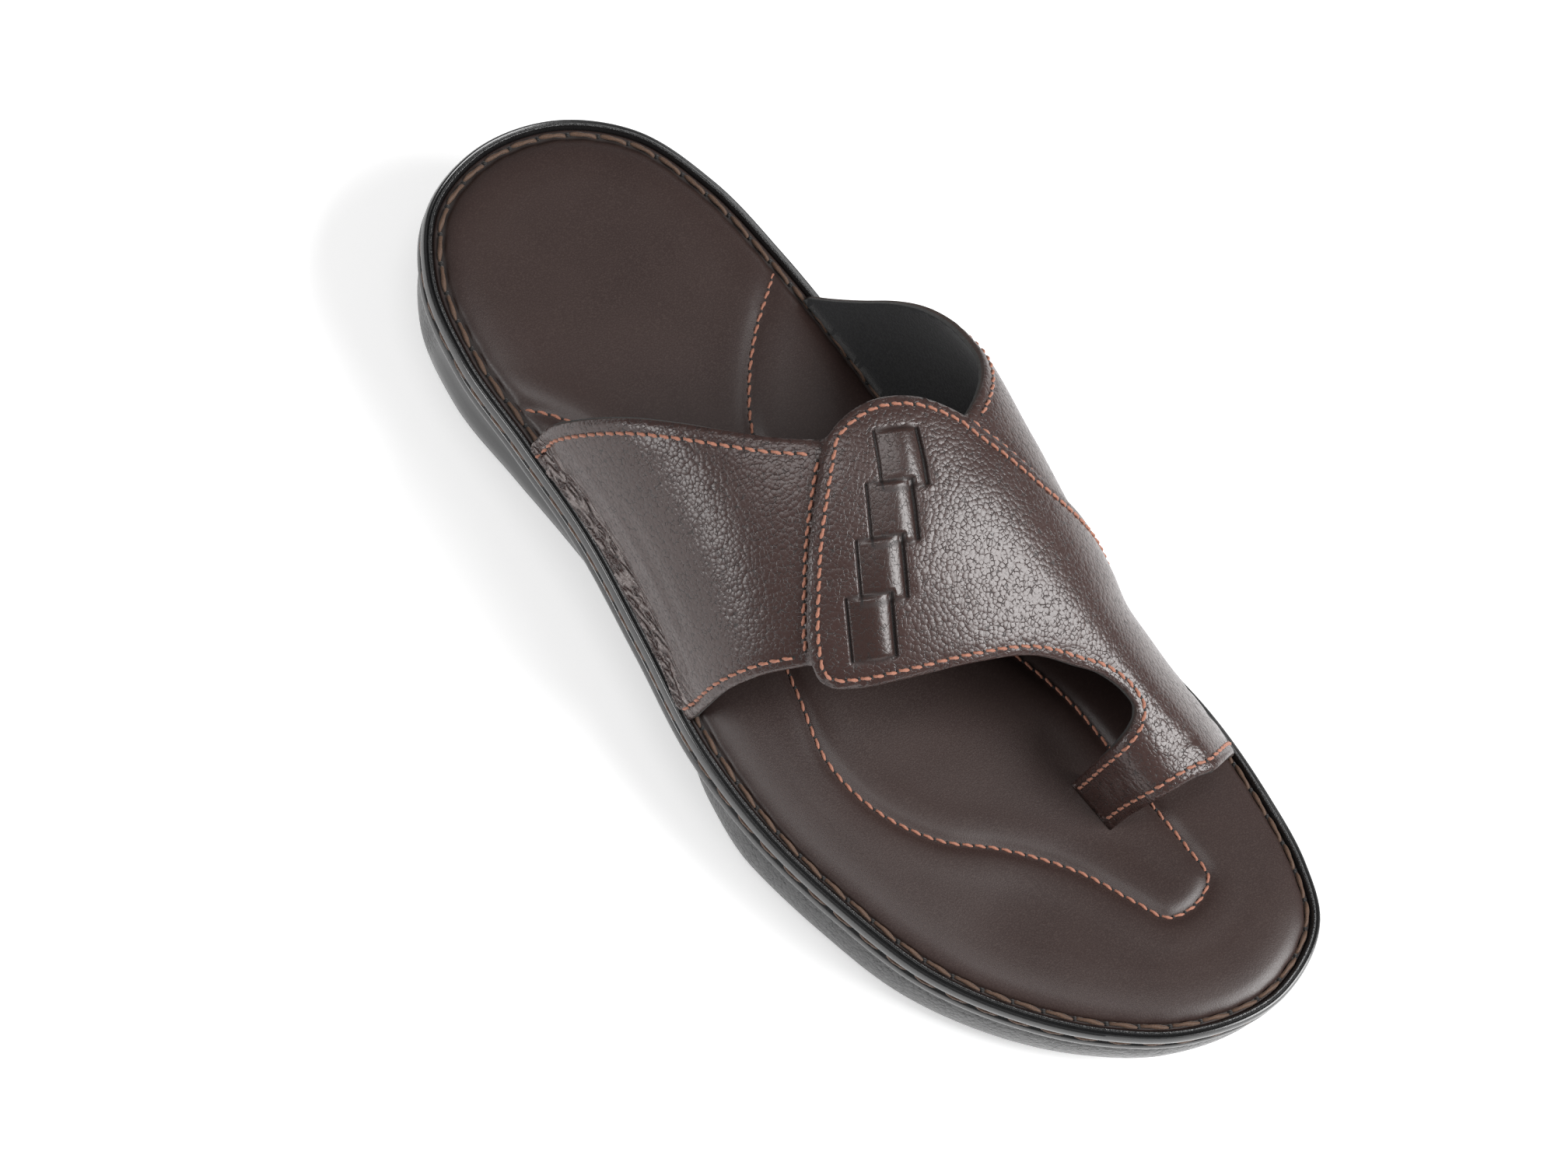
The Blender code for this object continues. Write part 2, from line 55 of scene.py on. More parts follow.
# Photograph's camera, in shoe millimetres, degrees and pixels of its frame
PHOTO_WIDTH = 2016
VIEW_TARGET = (0.0, 140.0, 30.0)
VIEW_AZIMUTH = 105.966
VIEW_ELEVATION = 65.986
VIEW_ROLL = 34.866
VIEW_DISTANCE = 1022.727
VIEW_FOCAL = 5499.26
VIEW_SHIFT = (98.722, 10.23)
SENSOR = 36.0

# Plan of the welt line, the stitched line round the footbed: station, inner side, outer side
PLAN = [
    (6.0, -16.6, 19.5),
    (18.0, -29.8, 29.9),
    (38.0, -36.5, 36.4),
    (62.0, -38.2, 38.3),
    (90.0, -38.2, 40.6),
    (118.0, -37.5, 46.0),
    (145.0, -39.7, 51.6),
    (170.0, -43.8, 52.4),
    (195.0, -47.3, 49.5),
    (218.0, -48.1, 44.2),
    (238.0, -44.8, 34.5),
    (255.0, -39.8, 21.5),
    (266.0, -33.2, 8.6),
]
HEEL_TIP = (3.0, 1.3)
TOE_TIP = (-15.2, 273.0)
# Points round the plan, in the solids and in the fine meshes here
SOLID_POINTS = 96
FINE_POINTS = 480

# Side view, as station and value: welt line over the floor, underside over the floor
WELT_HEIGHT = [(-5, 34.2), (0, 34.0), (60, 32.5), (120, 28.5), (180, 25.0), (215, 25.0),
               (245, 27.5), (275, 32.0), (285, 34.0)]
UNDERSIDE = [(-5, 5.0), (0, 3.4), (10, 1.2), (22, 0.0), (85, 0.0), (118, 1.8), (150, 0.0),
             (205, 0.0), (240, 2.6), (275, 8.5), (285, 11.0)]
# How far the lower wall is drawn in under the beads, and how hollow its panels are
TUCK = [(-5, 2.0), (40, 2.5), (80, 5.0), (115, 7.5), (138, 6.0), (154, 2.5), (172, 0.0),
        (285, 0.0)]
SCOOP_DEPTH = 2.0
SCOOP = [(-5, 0.0), (12, 0.0), (40, SCOOP_DEPTH), (110, SCOOP_DEPTH), (135, 0.5), (150, 0.0),
         (285, 0.0)]

# Side wall of the sole from the cup floor out over the lip and down to the tread.
# Reach is measured outwards from the welt line; tuck and scoop are shares of the tables
# above; a row lies its lift over the welt line, or, by its floor share, over the underside.
SIDE_ROWS = [
    # name, reach, tuck, scoop, floor share, lift
    ("cup floor", 2.1, 0.0, 0.0, 0.0, -4.3),
    ("lip inside", 2.1, 0.0, 0.0, 0.0, 0.3),
    ("lip top", 2.5, 0.0, 0.0, 0.0, 0.95),
    ("lip outside", 3.0, 0.0, 0.0, 0.0, 0.75),
    ("rim groove", 3.2, 0.0, 0.0, 0.0, 0.2),
    ("bead top", 3.7, 0.0, 0.0, 0.0, 0.45),
    ("bead full", 4.6, 0.0, 0.0, 0.0, -1.1),
    ("bead foot", 4.4, 0.0, 0.0, 0.0, -2.8),
    ("groove top", 3.5, 0.0, 0.0, 0.0, -3.4),
    ("groove foot", 3.5, 0.0, 0.0, 0.0, -4.7),
    ("second bead top", 4.3, 0.0, 0.0, 0.0, -5.3),
    ("second bead full", 4.75, 0.0, 0.0, 0.0, -6.8),
    ("second bead foot", 4.2, 0.0, 0.0, 0.0, -8.3),
    ("step", 3.3, 0.3, 0.2, 0.0, -9.2),
    ("hollow", 4.0, 0.9, 0.5, 0.5, 0.0),
    ("bolster full", 4.2, 1.0, 0.0, 1.0, 6.5),
    ("bolster low", 3.6, 1.0, 0.0, 1.0, 3.6),
    ("bolster turn", 1.2, 1.0, 0.0, 1.0, 1.1),
    ("tread edge", -2.2, 1.0, 0.0, 1.0, 0.4),
]
SIDE_NAMES = [row[0] for row in SIDE_ROWS]
SIDE_STEPS = 4
# Glossy panels and leather grain, in rows past the step and the full bolster, and the share of
# the scoop from which the panels show; rows over which the rough lip fades
PANEL_TOP = 0.2
PANEL_FOOT = 0.45
PANEL_HOLLOW = 0.35
GRAIN_TOP = 0.15
LIP_SPREAD = 1.1

# Tread pads: first station, last station, whether the lengthwise divider splits the row
TREAD_ROWS = [
    (9.0, 56.0, False),
    (61.0, 84.0, False),
    (89.0, 112.0, True),
    (116.0, 139.0, True),
    (143.0, 166.0, True),
    (170.0, 193.0, True),
    (197.0, 218.0, True),
    (222.0, 243.0, True),
    (247.0, 270.0, True),
]
TREAD_BORDER = 6.0
TREAD_DIVIDER = 4.4
# The divider follows the sole's middle, found in a short window, as far as this station
MIDDLE_WINDOW = 10.0
DIVIDER_LAST = 258.0
# Nested outlines of one pad: how far inside the frame's edge, height over the underside
PAD_LOOPS = [(0.0, 0.4), (1.3, 2.2), (2.6, 0.5)]
# Fine marks: length, width, height over the underside of the root and of the outer face
PAD_BAR = (4.6, 1.3, 0.6, 0.0)
LAND_DASH = (1.9, 0.8, 0.7, 0.15)
MARK_TAPER = 0.72
BAR_MARGIN = 1.4
BAR_PITCH = 6.2
BAR_SLANT = 32.0
DASH_MARGIN = -2.1
DASH_PITCH = 4.0
# How much of the leather grain the tread and its marks take
TREAD_GRAIN = 0.4
MARK_GRAIN = 0.2

# Footbed from its lower edge over the stitched flange up on to the pad
PAD_HEIGHT = 3.0
FOOTBED_ROWS = [
    # name, reach from the welt line at the heel, reach at the toe, lift over it
    ("lower edge", 1.8, 1.8, -4.0),
    ("flange edge", 1.8, 1.9, -0.8),
    ("flange top", 1.4, 1.6, -0.35),
    ("stitch line", 0.2, 1.0, -0.35),
    ("pad foot", -0.8, 0.5, -0.3),
    ("pad rise", -1.6, 0.0, 0.55),
    ("pad shoulder", -3.4, -1.9, 1.65),
    ("pad crown", -6.5, -5.5, 2.5),
    ("pad top", -12.0, -12.0, PAD_HEIGHT),
]
FOOTBED_NAMES = [row[0] for row in FOOTBED_ROWS]
FOOTBED_STEPS = 4
PAD_GRID = 1.6
# Stations between which the footbed's edge changes from its heel form to its toe form
WAIST = (125.0, 185.0)
# How far the welt stitches pull the pad's edge up and down
STITCH_PULL = 0.11
# Rings past the pad's foot at which the pull and the painted shade in the crevice are full, and their
# spread
PULL_PLACE = (2.0, 3.0)
CREVICE_SHADE_PLACE = (-3.0, 4.5)
# Points of the broad middles that don't show: spacing, distance inside the welt line
CUP_MIDDLE = (12.0, 8.0)
UNDER_MIDDLE = (14.0, 9.0)
# Distances from the quilted seam at which the mesh has rows of points
SEAM_MARGIN = 0.6
SEAM_ROWS = [-4.0, -3.0, -2.2, -1.5, -0.9, -0.3, 0.3, 0.9, 1.5, 2.2, 3.0, 4.0]

# Arched sections of the straps, from the inner foot over the ridge to the outer foot.
# Toe share moves the outer foot from the sole's edge to the place between the toes.
ARCH = [
    # station, ridge x, ridge height over the welt line, inner bulge, outer bulge, toe share
    (55.0, -4.0, 57.0, 11.0, 4.0, 0.0),
    (90.0, -6.0, 61.0, 17.0, 4.0, 0.0),
    (115.0, -8.0, 61.0, 17.0, 4.0, 0.0),
    (140.0, -11.0, 58.0, 12.0, 4.0, 0.0),
    (165.0, -15.0, 51.0, 5.0, 4.0, 0.0),
    (188.0, -21.0, 42.0, -1.5, 2.0, 0.12),
    (205.5, -26.5, 34.0, -3.0, 1.0, 1.0),
    (228.0, -30.0, 27.5, -3.5, 0.0, 1.0),
    (255.0, -30.0, 26.0, -3.5, 0.0, 1.0),
]
FOOT_REACH = [(55, 3.3), (174, 3.3), (184.4, 1.8), (255, 1.8)]
BETWEEN_TOES_X = -10.5
STRAP_LIFT = 0.35
# Leather and lining together, how far the vamp stands over the side straps, and the step's run
WALL = 3.7
VAMP_STEP = 1.5
STEP_RUN = 0.6

# Strap outlines as station and turn: turn 0 at the inner foot, 1 on the ridge, 2 outside
OUTER_REAR = [(64, 2.0), (65.5, 1.84), (71, 1.69), (80, 1.53), (88, 1.43), (97, 1.33),
              (106, 1.235), (113.2, 1.15)]
VAMP_TOP = [(113.6, 1.135), (112.6, 1.09), (112.5, 1.04), (113.5, 0.99), (115.5, 0.95),
            (118.5, 0.91), (123, 0.87), (128.5, 0.83)]
INNER_COLLAR = [(128.6, 0.80), (126.5, 0.73), (121.5, 0.61), (116, 0.52), (109, 0.45),
                (103, 0.37), (97, 0.29), (91, 0.205), (85, 0.12), (79, 0.05), (74, 0.0)]
VAMP_INNER_EDGE = [(128.5, 0.83), (133, 0.81), (138.5, 0.775), (144, 0.74), (149.5, 0.695),
                   (154.5, 0.635), (163, 0.49), (172, 0.31), (180, 0.14), (185, 0.0)]
RING_FRONT = [(226, 0.0), (226, 0.4), (226.5, 0.78), (226.5, 0.96), (225, 1.16), (223.5, 1.39),
              (222.5, 1.59), (221.5, 1.80), (221, 2.0)]
WINDOW = [(206.5, 2.0), (207, 1.72), (207.2, 1.48), (206.8, 1.33), (205.5, 1.20), (203, 1.10),
          (199, 1.05), (194, 1.04), (188.5, 1.06), (180, 1.11), (173, 1.20), (167, 1.305),
          (161, 1.41), (157.5, 1.455), (154, 1.472), (150.5, 1.465)]
VAMP_OUTER_EDGE = [(113.6, 1.135), (121, 1.22), (130, 1.31), (138, 1.375), (145, 1.43),
                   (150.5, 1.465)]
OUTER_FRONT = [(150.0, 1.478), (144.5, 1.59), (141, 1.71), (139, 1.88), (138, 2.0)]

# Woven ladder on the vamp: pillow squares stepping down and outwards
WEAVE_COUNT = 4
WEAVE_FIRST = (127.5, 1.04)
WEAVE_STEP = (8.4, 0.090)
WEAVE_ACROSS = (2.5, -0.040)
WEAVE_ALONG = (6.0, 0.036)
WEAVE_RISE = 1.25
WEAVE_DIP = 0.35
ROLL_LEAN = 1.5
ROLL_FULLNESS = 0.8
# Slits beside a square: place across it, half width
WEAVE_SLITS = [(-1.04, 0.055), (1.07, 0.085)]
SLIT_DEPTH = 1.2
SLIT_REACH = 1.04
# A square's soft sides: reach across and along, sharpness across and along
WEAVE_SIDES = (1.02, 1.01, 16, 12)
WEAVE_CROWN = 0.12
# Line at a square's two ends: half width, depth, strength of its painted shade
END_LINE = (0.045, 0.4, 0.75)
END_LINE_REACH = 1.03
# Mesh of a square: first, last and step, across and along
WEAVE_MESH = ((-1.26, 1.27, 0.06), (-1.2, 1.21, 0.08))

# Lengths on the leather: one turn, and the short steps that find its slope
TURN_LENGTH = 80.0
CHART_SCALE = np.array([1.0, TURN_LENGTH])
STATION_STEP = 0.5
TURN_STEP = 0.004
TURN_END = 0.01
# Point spacing along edges, on the leather, beside the weave and at the wrinkled foot
EDGE_PITCH = 1.3
STRAP_GRID = 1.5
WEAVE_GRID = 0.4
WEAVE_MARGIN = 0.8
BASE_GRID = 0.45
LINE_MARGIN = 0.5
PATH_PITCH = 0.5
# Rings of the cut edge, as shares of the way from the outer face to the lining
EDGE_SHARES = (0.14, 0.36, 0.58, 0.80, 0.95)
# Depth and half width of the groove under a stitch row and of the rounding at a free edge
ROW_GROOVE = (0.30, 0.9)
EDGE_ROUNDING = (0.45, 0.6)

# Creases: chart path as station and turn, depth (less than 0 for a ridge), half width
RIDGE_DEPTH = -0.6
RIDGE_WIDTH = 0.65
BASE_RIDGES = [
    [(66, 1.955), (71, 1.942), (76, 1.94)],
    [(72, 1.965), (80, 1.945), (88, 1.94)],
    [(77, 1.925), (83, 1.912), (90, 1.918)],
    [(86, 1.958), (94, 1.94), (102, 1.94)],
    [(94, 1.92), (101, 1.91), (108, 1.918)],
    [(101, 1.958), (110, 1.942), (118, 1.945)],
    [(111, 1.922), (117, 1.915), (124, 1.93)],
    [(117, 1.96), (126, 1.95), (135, 1.968)],
]
CREASES = [(path, RIDGE_DEPTH, RIDGE_WIDTH) for path in BASE_RIDGES] + [
    ([(66, 1.962), (90, 1.948), (112, 1.948), (134, 1.963)], -0.9, 2.6),
    ([(201, 1.32), (212, 1.36), (224, 1.40)], -1.6, 7.0),
    ([(74, 1.84), (92, 1.83), (112, 1.83), (129, 1.86)], 0.3, 1.6),
    ([(96, 1.75), (110, 1.75), (122, 1.77)], 0.15, 1.8),
    ([(214, 1.16), (217, 1.02), (218, 0.9)], 0.14, 0.9),
    ([(218, 1.24), (221, 1.10), (222, 0.98)], 0.12, 0.9),
    ([(212, 0.42), (215, 0.28), (216, 0.14)], 0.22, 1.1),
    ([(206, 0.34), (208, 0.22), (208, 0.10)], 0.18, 1.1),
]
# Raised shoulders beside a crease: share of its depth, place and width in half widths
CREASE_SHOULDERS = (0.6, 2.2, 1.4)
CREASE_PITCH = 1.0
# Outward flare at the foot of the outer quarter
BASE_FLARE = 1.3
BASE_FLARE_HEIGHT = 13.0

# Bands of fine wrinkles, with a painted highlight on their crests: chart path, half width, strength
CRINKLES = [
    ([(64, 1.95), (84, 1.925), (104, 1.925), (134, 1.95)], 4.2, 1.0),
    ([(205, 1.02), (214, 1.05), (222, 1.10)], 5.0, 0.05),
    ([(222, 0.10), (214, 0.08), (204, 0.06)], 5.0, 0.35),
    ([(218, 1.5), (214, 1.75)], 4.0, 0.10),
]
# The outer quarter has the fine mesh from this turn down
CRINKLE_TURN = 1.86

# Stitches: lift over the leather, pitch, thread radius, share of the pitch that shows, lean
WELT_PITCH = 7.6
UPPER_STITCH = (-0.14, 3.0, 0.40, 0.86, 0.2)
SEAM_STITCH = (0.08, 3.2, 0.36, 0.86, 0.2)
WELT_STITCH = (-0.1, WELT_PITCH, 0.56, 0.92, 0.22)
SIDE_STITCH = (0.4, 8.0, 0.5, 0.8, 0.0)
# Needle holes: lift over the leather, radius
UPPER_HOLE = (-0.25, 0.58)
SEAM_HOLE = (0.02, 0.5)
WELT_HOLE = (-0.2, 0.68)
# Distance of the vamp's row from its edge; reach of the welt's row at the heel and at the toe
VAMP_ROW_REACH = 2.1
WELT_STITCH_REACH = (0.25, 0.95)
# Thread: unevenness of the pitch, and the two plies twisted together
PITCH_PLAY = 0.03
# Arc of a stitch: fullness, and rise and sink in radii; thickness at its ends
THREAD_ARC = (0.6, 1.1, 0.75)
THREAD_END = 0.62
PLY_DEPTH = 0.2
PLY_TURNS = 1.5
HOLE_RISE = 0.45
HOLE_DROP = 0.4

# Quilted seam of the footbed, from the outer edge of the heel round the toes and back
QUILT_SEAM = [
    (38.6, 53.2), (34.6, 57.9), (29.5, 65.7), (24.0, 85.0), (21.0, 108.0), (23.0, 130.0),
    (28.3, 149.3), (33.3, 166.6), (31.8, 181.7), (24.1, 197.4), (14.2, 207.4), (1.8, 225.2),
    (-3.0, 237.9), (-6.4, 245.6), (-14.4, 247.4), (-21.1, 244.6), (-22.5, 236.0),
    (-23.3, 223.8), (-24.7, 205.1), (-24.8, 191.6), (-22.4, 176.9), (-15.0, 152.0),
    (-5.0, 126.0), (-2.6, 108.0), (-4.6, 94.0), (-12.7, 82.7), (-21.8, 74.3), (-34.0, 66.2),
    (-37.6, 63.9),
]
# Depth and half width of the seam's trough; height, distance and half width of the puff beside it
QUILT_TROUGH = (0.65, 1.8)
QUILT_PUFF = (0.22, 5.5, 3.6)
QUILT_PITCH = 0.8

# Tones, as linear red, green and blue
STRAP_TONES = ((0.040, 0.0195, 0.0165), (0.049, 0.026, 0.0225))
WEAVE_TONE = (0.030, 0.0135, 0.0105)
# Painted shade for the cracks of the grain
CRACK_SHADE_TONE = (0.008, 0.004, 0.0035)
# Painted highlight for the crests of the fine folds
CREST_HIGHLIGHT_TONE = (0.24, 0.20, 0.19)
# Painted shade for the slits and end lines of the woven squares
SLIT_SHADE_TONE = (0.005, 0.004, 0.004)
EDGE_TONES = ((0.030, 0.018, 0.015), (0.075, 0.052, 0.045))
FELT_TONES = ((0.020, 0.020, 0.020), (0.085, 0.083, 0.080))
LINING_TONES = ((0.008, 0.008, 0.009), (0.022, 0.022, 0.023))
NAP_TONE = (0.022, 0.022, 0.024)
FOOTBED_TONES = ((0.030, 0.0167, 0.0147), (0.038, 0.0222, 0.0195))
PORE_TONE = (0.058, 0.036, 0.030)
# Painted shade for the crevice along the footbed's edge
CREVICE_SHADE_TONE = (0.008, 0.005, 0.004)
RUBBER_TONES = ((0.008, 0.008, 0.0085), (0.013, 0.013, 0.0135))
ORANGE_TONES = ((0.22, 0.078, 0.048), (0.54, 0.235, 0.150))
BROWN_TONES = ((0.022, 0.012, 0.008), (0.17, 0.090, 0.052))
# Painted shade for the needle holes
HOLE_SHADE_TONES = ((0.004, 0.003, 0.003), (0.010, 0.007, 0.006))
FLOOR_TONES = ((0.90, 0.90, 0.90), (0.93, 0.93, 0.93))

# Grain, as cells a metre
STRAP_PEBBLES = 920.0
SOLE_PEBBLES = 850.0
PORES = 2600.0
FOLDS = 620.0
FOLD_STRETCH = 0.22

# Stage, in metres and watts
LIGHTS = [
    # name, place, target, size, power
    ("key_box", (-0.50, 0.72, 0.94), (0, 0.02, 0.05), (0.70, 0.70), 18.5),
    ("fill_box", (1.15, -0.40, 0.42), (0, 0, 0.03), (0.36, 0.36), 4.0),
    ("edge_strip", (0.34, -0.13, 1.15), (0, 0, 0.03), (0.26, 0.9), 3.5),
]
SKY_STRENGTH = 0.22
FLOOR_HALF = 4.0
FLOOR_GLOW = 0.44


# Curves and plan loops

def hermite(t, start, end, start_slope, end_slope, run):
    """Place at a share t of the curve between two places with the given slopes."""
    leaving = start * (1 + 2 * t) * (1 - t) ** 2 + start_slope * run * t * (1 - t) ** 2
    arriving = end * t * t * (3 - 2 * t) + end_slope * run * t * t * (t - 1)
    return leaving + arriving


def middle_slopes(slope, run):
    """Slope at each place between two runs, from both of them."""
    return (slope[:-1] * run[1:] + slope[1:] * run[:-1]) / (run[1:] + run[:-1])


def along(table, station):
    """Smooth curve without overshoot through a short table of (station, value) rows."""
    knots, values = np.array(table, float).T
    run = np.diff(knots)
    slope = np.diff(values) / run
    tangent = np.zeros_like(values)
    same_way = slope[:-1] * slope[1:] > 0
    before = slope[:-1][same_way]
    after = slope[1:][same_way]
    tangent[1:-1][same_way] = 2 * before * after / (before + after)
    tangent[0], tangent[-1] = slope[0], slope[-1]
    station = np.clip(np.asarray(station, float), knots[0], knots[-1])
    i = np.clip(np.searchsorted(knots, station) - 1, 0, len(run) - 1)
    t = (station - knots[i]) / run[i]
    return hermite(t, values[i], values[i + 1], tangent[i], tangent[i + 1], run[i])


def smooth_path(points, pitch=None, count=None, closed=False):
    """Evenly spaced points on a smooth curve through given points."""
    points = np.array(points, float)
    if closed:
        points = np.vstack([points[-1:], points, points[:2]])
    else:
        before = 2 * points[:1] - points[1:2]
        after = 2 * points[-1:] - points[-2:-1]
        points = np.vstack([before, points, after])
    run = np.linalg.norm(np.diff(points, axis=0), axis=1)[:, None]
    tangent = middle_slopes(np.diff(points, axis=0) / run, run)
    t = np.linspace(0, 1, CURVE_SAMPLES, endpoint=False)[:, None]
    pieces = [hermite(t, points[i], points[i + 1], tangent[i - 1], tangent[i], run[i])
              for i in range(1, len(points) - 2)]
    return respaced(np.vstack(pieces + [points[-2:-1]]), pitch, count, closed)


def lengths(points):
    """Length along a path at each of its points."""
    return np.append(0, np.cumsum(np.linalg.norm(np.diff(points, axis=0), axis=1)))


def at_lengths(where, length, values):
    """Values along a path, read at the given lengths."""
    return np.stack([np.interp(where, length, each) for each in values.T], axis=-1)


def respaced(dense, pitch=None, count=None, closed=False):
    """Evenly spaced points on a path that is given closely."""
    length = lengths(dense)
    if count is None:
        count = max(2, int(round(length[-1] / pitch)) + 1)
    return at_lengths(np.linspace(0, length[-1], count, endpoint=not closed), length, dense)


def smooth_rows(rows, steps):
    """Rings on smooth curves from the first given ring to the last."""
    rows = np.asarray(rows, float)
    run = np.linalg.norm(np.diff(rows, axis=0), axis=2).mean(axis=1)[:, None, None]
    slope = np.diff(rows, axis=0) / run
    tangent = np.concatenate([slope[:1], middle_slopes(slope, run), slope[-1:]])
    made = [hermite(t, rows[i], rows[i + 1], tangent[i], tangent[i + 1], run[i])
            for i in range(len(rows) - 1) for t in np.arange(steps) / steps]
    return np.array(made + [rows[-1]])


def welt_line(count):
    """Closed plan of the welt line, from the heel round the outer side."""
    outer = [(row[2], row[0]) for row in PLAN]
    inner = [(row[1], row[0]) for row in reversed(PLAN)]
    return smooth_path([HEEL_TIP] + outer + [TOE_TIP] + inner, count=count, closed=True)


def over_welt(plan, lift):
    """Plan points set at a lift over the welt line's height."""
    return np.column_stack([plan, along(WELT_HEIGHT, plan[:, 1]) + lift])


def unit(vectors):
    """Vectors at length one."""
    return vectors / np.linalg.norm(vectors, axis=-1, keepdims=True)


def offset(loop, reach):
    """Plan loop moved outwards by a reach, one value or one for each point."""
    direction = unit(np.roll(loop, -1, axis=0) - np.roll(loop, 1, axis=0))
    outward = np.column_stack([direction[:, 1], -direction[:, 0]])
    return loop + outward * np.broadcast_to(reach, len(loop))[:, None]


def inside(points, loop):
    """Which points lie inside a closed plan loop."""
    points = np.asarray(points, float)
    result = np.zeros(len(points), bool)
    x, y = points.T
    for (x0, y0), (x1, y1) in zip(loop, np.roll(loop, -1, axis=0)):
        if y0 != y1:
            crossing = (y0 > y) != (y1 > y)
            result ^= crossing & (x < x0 + (y - y0) * (x1 - x0) / (y1 - y0))
    return result


def nearest(points, marks):
    """Distance from each point to the nearest mark."""
    least = np.full(len(points), np.inf)
    for first in range(0, len(points), NEAREST_BLOCK):
        block = points[first:first + NEAREST_BLOCK]
        gaps = np.linalg.norm(block[:, None, :] - marks[None, :, :], axis=2)
        least[first:first + NEAREST_BLOCK] = gaps.min(axis=1)
    return least


def loop_edges(first, count):
    return [(first + i, first + (i + 1) % count) for i in range(count)]


def triangulate(points, edges, rim_count):
    """Triangles inside the loop of the first points, kept along the given edges."""
    points = np.asarray(points, float)
    flat = [Vector(point) for point in points]
    _, _, faces, origin, _, _ = delaunay_2d_cdt(flat, edges, [], 0, SAME_POINT, True)
    corners = np.array([[origin[corner][0] for corner in face] for face in faces])
    return corners[inside(points[corners].mean(axis=1), points[:rim_count])].tolist()


def lattice(low, high, pitch):
    """Staggered lattice of plan points over a box."""
    rows = np.arange(low[1], high[1], pitch * math.sqrt(3) / 2)
    points = []
    for k, y in enumerate(rows):
        x = np.arange(low[0] + (k % 2) * pitch / 2, high[0], pitch)
        points.append(np.column_stack([x, np.full(len(x), y)]))
    return np.vstack(points)


def bump_curve(distance, width):
    """Soft hump of height one, gone at about twice its width."""
    return np.exp(-(distance / width) ** 2)


def ease(value):
    """Smooth change from 0 to 1, level at both ends."""
    value = np.clip(value, 0.0, 1.0)
    return value * value * (3 - 2 * value)


# Pieces

def plan_centre():
    """Middle of the solids' plan, which is the shared frame's origin."""
    widest = offset(welt_line(SOLID_POINTS), max(row[1] for row in SIDE_ROWS))
    return (widest.min(axis=0) + widest.max(axis=0)) / 2


SHIFT = np.array([*plan_centre(), 0.0])


def mesh_piece(name, points, faces, finishes, face_finish=None, values=None, crisp=False):
    """One piece from shoe points in millimetres, riding on the shoe."""
    mesh = bpy.data.meshes.new(name)
    mesh.from_pydata(((np.asarray(points) - SHIFT) * MM).tolist(), [], faces)
    for finish in finishes:
        mesh.materials.append(finish)
    if face_finish is not None:
        mesh.polygons.foreach_set("material_index", np.asarray(face_finish, np.int32))
    for key, numbers in (values or {}).items():
        layer = mesh.attributes.new(key, "FLOAT", "POINT")
        layer.data.foreach_set("value", np.asarray(numbers, np.float32))
    shape = bmesh.new()
    shape.from_mesh(mesh)
    bmesh.ops.recalc_face_normals(shape, faces=shape.faces)
    shape.to_mesh(mesh)
    shape.free()
    mesh.shade_smooth()
    if crisp:
        mesh.set_sharp_from_angle(angle=math.radians(CRISP_ANGLE))
    made = bpy.data.objects.new(name, mesh)
    bpy.context.collection.objects.link(made)
    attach(made, "root")
    return made


def padded_to(numbers, count):
    """Numbers for the first points of a piece, with 0 for the rest."""
    return np.append(numbers, np.zeros(count - len(numbers)))


def bridge(first, second, count):
    """Quads between two closed rings of equal count."""
    return [(first + i, first + (i + 1) % count, second + (i + 1) % count, second + i)
            for i in range(count)]


def stacked(rings):
    """Points of closed rings, and the quads from each ring to the next."""
    count = len(rings[0])
    faces = []
    for k in range(1, len(rings)):
        faces += bridge((k - 1) * count, k * count, count)
    return [tuple(point) for ring in rings for point in ring], faces


def middle_points(loop, ring, lift, spacing, margin):
    """Points of a broad middle, well inside the welt line and at a lift over it."""
    points = lattice(ring.min(axis=0)[:2], ring.max(axis=0)[:2], spacing)
    return over_welt(points[inside(points, offset(loop, -margin))], lift)


def fill(points, faces, ring_start, ring, middle):
    """Close a ring of a piece with a sheet through the points of its middle."""
    count = len(ring)
    first_middle = len(points) - count
    points += [tuple(point) for point in middle]
    for face in triangulate(np.vstack([ring, middle])[:, :2], loop_edges(0, count), count):
        faces.append(tuple(corner + (ring_start if corner < count else first_middle)
                           for corner in face))


# Sole

def side_ring(loop, row):
    """One ring of the sole's side, at the row's reach and height."""
    _, reach, tuck, scoop, floor_share, lift = row
    station = loop[:, 1]
    drawn_in = tuck * along(TUCK, station) + scoop * along(SCOOP, station)
    plan = offset(loop, reach - drawn_in)
    welt = along(WELT_HEIGHT, plan[:, 1])
    under = along(UNDERSIDE, plan[:, 1])
    return np.column_stack([plan, welt * (1 - floor_share) + under * floor_share + lift])


def clip(loop, point, normal):
    """Part of a plan loop on the side of a line that its normal points to."""
    kept = []
    side = (loop - point) @ normal
    for i in range(len(loop)):
        j = (i + 1) % len(loop)
        if side[i] >= 0:
            kept.append(loop[i])
        if side[i] * side[j] < 0:
            kept.append(loop[i] + (loop[j] - loop[i]) * side[i] / (side[i] - side[j]))
    return np.array(kept)


def without_near_points(loop, least=0.8):
    """Plan loop without points that crowd the one before."""
    kept = [loop[0]]
    for point in loop[1:]:
        if np.linalg.norm(point - kept[-1]) > least:
            kept.append(point)
    if np.linalg.norm(kept[-1] - kept[0]) <= least:
        kept.pop()
    return np.array(kept)


def middle_x(loop, station):
    """Middle of a plan loop across the shoe at a station."""
    crossing = np.abs(loop[:, 1] - station) < MIDDLE_WINDOW
    x = loop[crossing][:, 0]
    return (x.min() + x.max()) / 2


